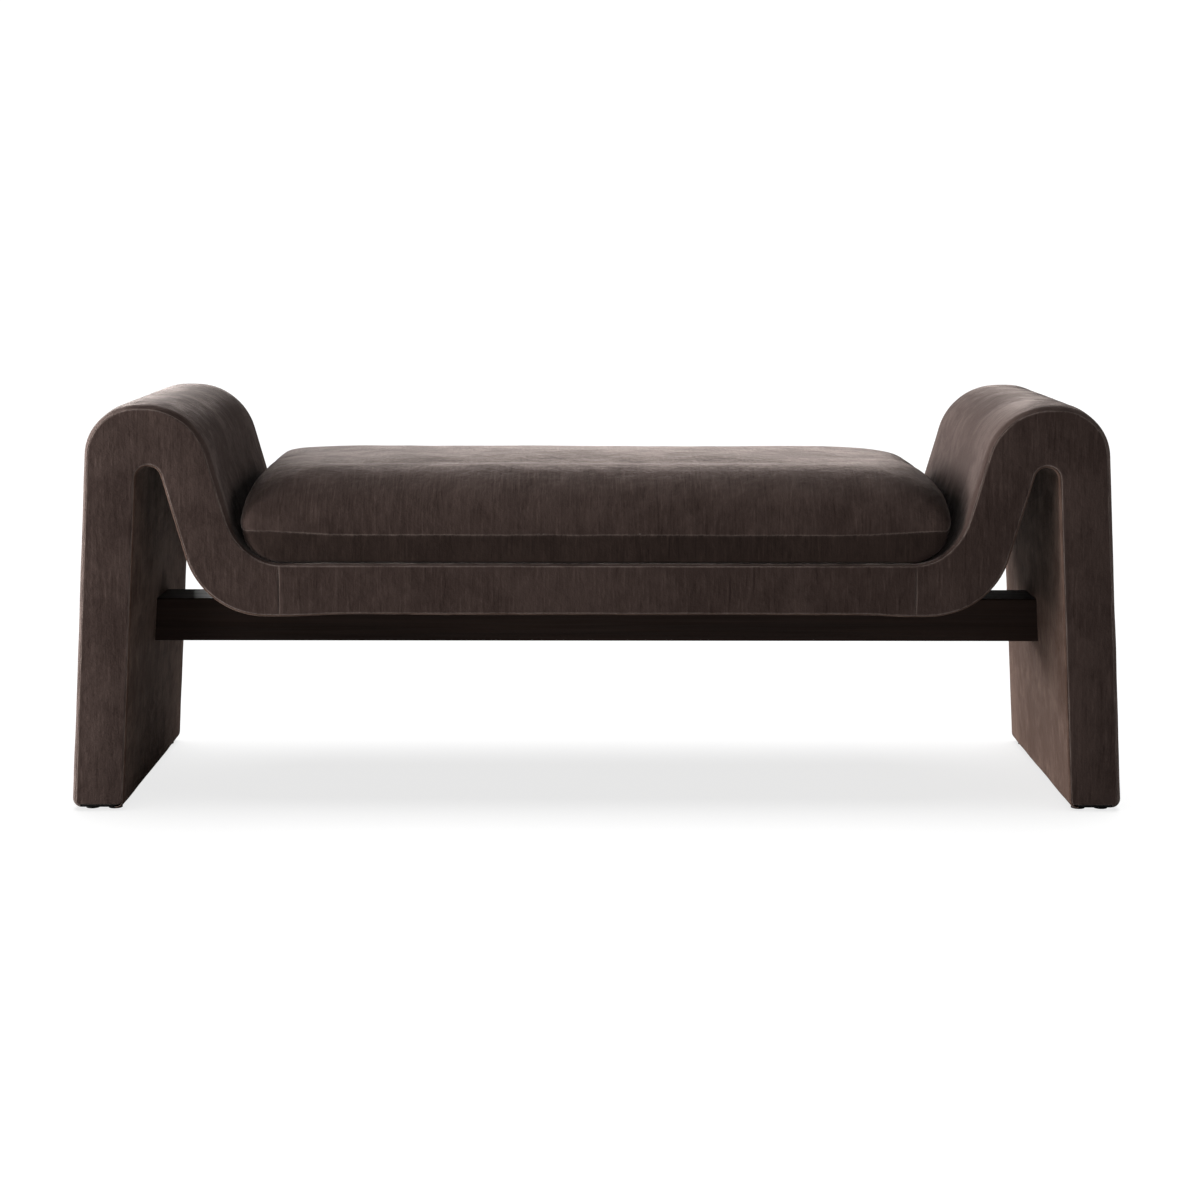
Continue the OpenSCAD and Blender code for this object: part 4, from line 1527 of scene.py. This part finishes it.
@dataclass(frozen=True)
class SoftBox:
    """A soft light: where it stands, what it looks at, its sides and its power in watts."""

    name: str
    place: Place
    aim: Place
    size: Size
    power: float

    def build(self) -> bpy.types.Object:
        """Makes the light.

        Returns:
            The light.
        """
        data = bpy.data.lights.new(self.name, "AREA")
        data.shape = "RECTANGLE"
        data.size, data.size_y = self.size
        data.energy = self.power
        made = linked(self.name, data)
        made.location = self.place
        way = Vector(self.aim) - Vector(self.place)
        made.rotation_euler = way.to_track_quat("-Z", "Y").to_euler()
        return made


@dataclass
class Studio:
    """A pale floor, soft lights and the photograph's camera."""

    eye: Place = (-0.0138, -3.4423, 0.8419)
    pitch: float = 0.1114
    yaw: float = 0.0052
    roll: float = 0.0020
    lens: float = 68.138
    sensor: float = 36.0
    rise: float = -0.1
    clip: Span = (0.1, 100.0)
    floor_size: float = 30.0
    floor_tone: float = 0.32
    floor_glow: float = 0.79
    floor_cast: float = 0.58
    shade: float = 3.0
    shade_spread: float = 48.0
    shade_lean: float = 8.0
    backdrop: float = 1.1
    fill: float = 0.02
    boxes: tuple[SoftBox, ...] = (
        SoftBox("Left box", (-3.0, 0.4, 2.2), (0.0, 0.0, 0.4), (2.0, 1.6), 88.0),
        SoftBox("Left rear box", (-3.0, 1.4, 0.9), (0.4, 0.0, 0.3), (2.0, 1.4), 128.0),
        SoftBox("Left corner box", (-1.5, 2.4, 1.0), (-0.5, 0.0, 0.5), (0.8, 0.8), 62.0),
        SoftBox("Left near box", (-2.8, -0.5, 0.6), (0.5, 0.1, 0.3), (1.2, 1.0), 110.0),
        SoftBox("Left front box", (-2.2, -2.6, 2.4), (0.0, 0.0, 0.4), (1.6, 1.6), 27.0),
        SoftBox("Left low box", (-3.0, -1.5, 1.0), (0.5, 0.0, 0.3), (2.0, 1.8), 21.0),
        SoftBox("Right box", (3.0, 0.2, 2.2), (0.0, 0.0, 0.4), (2.0, 1.6), 50.0),
        SoftBox("Rear box", (-0.5, 3.6, 1.6), (0.0, 0.0, 0.45), (4.5, 1.0), 13.0),
    )

    def camera(self) -> None:
        """Makes the scene's camera."""
        data = bpy.data.cameras.new("Camera")
        data.lens, data.sensor_width, data.shift_y = self.lens, self.sensor, self.rise
        data.clip_start, data.clip_end = self.clip
        level = Vector((math.sin(self.yaw), math.cos(self.yaw), 0.0)) * math.cos(self.pitch)
        ahead = level - Vector((0.0, 0.0, math.sin(self.pitch)))
        right = Vector((math.cos(self.yaw), -math.sin(self.yaw), 0.0))
        up = right.cross(ahead)
        c, s = math.cos(self.roll), math.sin(self.roll)
        right, up = c * right + s * up, c * up - s * right
        made = linked("Camera", data)
        made.matrix_world = Matrix((right, up, -ahead)).transposed().to_4x4()
        made.location = self.eye
        bpy.context.scene.camera = made

    @staticmethod
    def reach(lamp: bpy.types.Object, floor: bpy.types.Object, only: bool) -> None:
        """Lets a light fall on the floor only, or on all but the floor.

        Args:
            lamp: The light.
            floor: The floor.
            only: Whether it falls on the floor only.
        """
        group = bpy.data.collections.new(f"{lamp.name} reach")
        group.objects.link(floor)
        group.collection_objects[0].light_linking.link_state = "INCLUDE" if only else "EXCLUDE"
        lamp.light_linking.receiver_collection = group

    def overhead(self) -> bpy.types.Object:
        """Adds the broad light over the floor, which the bench shades.

        Returns:
            The light.
        """
        data = bpy.data.lights.new("Overhead", "SUN")
        data.energy, data.angle = self.shade, math.radians(self.shade_spread)
        made = linked("Overhead", data)
        made.rotation_euler = (math.radians(-self.shade_lean), 0.0, 0.0)
        return made

    def floor(self) -> bpy.types.Object:
        """Makes the floor, which glows for the eye only.

        Returns:
            The floor.
        """
        bm = bmesh.new()
        bmesh.ops.create_grid(bm, x_segments=4, y_segments=4, size=self.floor_size)
        mesh = bpy.data.meshes.new("Floor")
        bm.to_mesh(mesh)
        bm.free()
        g = Graph("Pale floor")
        seen = g.wire("ShaderNodeLightPath", {}, {}, "Is Camera Ray")
        pale, cast = (
            g.node("ShaderNodeBsdfDiffuse", {}, {"Color": (tone, tone, tone, 1.0)})
            for tone in (self.floor_tone, self.floor_cast)
        )
        white = {"Color": (1.0, 1.0, 1.0, 1.0), "Strength": self.floor_glow}
        glow = g.node("ShaderNodeEmission", {}, white)
        shown = g.node("ShaderNodeAddShader", {}, {0: pale, 1: glow})
        both = g.node("ShaderNodeMixShader", {}, {0: seen, 1: cast, 2: shown})
        mesh.materials.append(g.finish(both))
        made = linked("Floor", mesh)
        return made

    def sky(self) -> None:
        """Sets an even white surround, which looks pure white behind the bench."""
        world = bpy.data.worlds.new("Surround")
        world.use_nodes = True
        tree = world.node_tree
        tree.nodes.clear()
        path = tree.nodes.new("ShaderNodeLightPath")
        mix = tree.nodes.new("ShaderNodeMixShader")
        out = tree.nodes.new("ShaderNodeOutputWorld")
        tree.links.new(path.outputs["Is Camera Ray"], mix.inputs[0])
        for socket, strength in ((1, self.fill), (2, self.backdrop)):
            background = tree.nodes.new("ShaderNodeBackground")
            background.inputs["Color"].default_value = (1.0, 1.0, 1.0, 1.0)
            background.inputs["Strength"].default_value = strength
            tree.links.new(background.outputs[0], mix.inputs[socket])
        tree.links.new(mix.outputs[0], out.inputs[0])
        bpy.context.scene.world = world

    def build(self) -> None:
        """Sets up the camera, the lights and the floor."""
        self.camera()
        floor = self.floor()
        self.sky()
        self.reach(self.overhead(), floor, True)
        for box in self.boxes:
            self.reach(box.build(), floor, False)
        bpy.context.scene.view_settings.view_transform = "Standard"


def finishes() -> Materials:
    """Makes every finish of the bench.

    Returns:
        The materials by name.
    """
    kinds = {
        "outer": Velvet("Band velvet", Axis.Y),
        "side": Velvet("Side velvet", Axis.X, shift=11.0),
        "cushion_top": Velvet("Cushion velvet", Axis.X, sheen=0.45, sheen_low=0.33, shift=23.0),
        # The under cover is the same cloth as the band: its warmer, lighter colour and weaker
        # sheen are painted light and shade, set for how light falls on the inner faces under the
        # seat.
        "under": Velvet("Under velvet", Axis.Y, (0.0430, 0.0220, 0.0150), (0.178, 0.115, 0.092),
                        sheen_tint=(1.0, 0.80, 0.68), sheen=0.26, sheen_low=0.12, shift=47.0),
        # The cushion's base is the same cloth as its top: its darker colour and weaker sheen are
        # painted shade for the part below the seam, which curls under in shadow.
        "cushion_base": Velvet("Cushion base velvet", Axis.X, (0.0165, 0.0092, 0.0072),
                               (0.050, 0.032, 0.026), sheen=0.14, sheen_low=0.07, shift=31.0),
        "sole": Plain("Sole cloth", (0.010, 0.009, 0.009), (0.020, 0.018, 0.018), 0.95),
        "beam": Wood("Stained beam", Axis.X, (0.0200, 0.0110, 0.0082), (0.0380, 0.0220, 0.0165),
                     0.66, gloss=0.2),
        "ply": Wood("Plywood", Axis.X, (0.42, 0.28, 0.15), (0.60, 0.43, 0.26), 0.65),
        "pine": Wood("Softwood", Axis.Y, (0.55, 0.37, 0.19), (0.72, 0.54, 0.32), 0.6, 60.0),
        "felt": Plain("Felt", (0.008, 0.008, 0.008), (0.018, 0.017, 0.016), 1.0,
                      marks=1200.0, depth=0.3 * MM),
        "steel": Plain("Zinc steel", (0.50, 0.50, 0.52), (0.62, 0.62, 0.64), 0.32, 1.0,
                       marks=900.0, depth=0.02 * MM, stretch=8.0),
        "plastic": Plain("Glide plastic", (0.010, 0.009, 0.009), (0.016, 0.014, 0.014), 0.5),
        "hooks": Plain("Hook and loop", (0.006, 0.006, 0.006), (0.020, 0.018, 0.017), 0.9,
                       marks=1400.0, depth=0.5 * MM),
        "zip_cloth": Plain("Zip tape", (0.015, 0.0098, 0.0080), (0.027, 0.0185, 0.0155), 0.9,
                           marks=1800.0),
        "zip_coil": Plain("Zip coil", (0.014, 0.0098, 0.0082), (0.034, 0.0250, 0.0215), 0.5),
        "zip_metal": Plain("Zip metal", (0.10, 0.095, 0.09), (0.16, 0.15, 0.145), 0.3, 1.0,
                           marks=600.0, depth=0.01 * MM),
    }
    return {name: kind.material() for name, kind in kinds.items()}


def main() -> None:
    """Builds the studio, the slab, the cushion and the fittings."""
    logging.basicConfig(level=logging.INFO, format="%(message)s")
    Studio().build()
    looks = finishes()
    Slab().build(looks)
    Cushion().build(looks)
    Fittings().dress(frame["nodes"], looks)


if __name__ == "__main__":
    main()
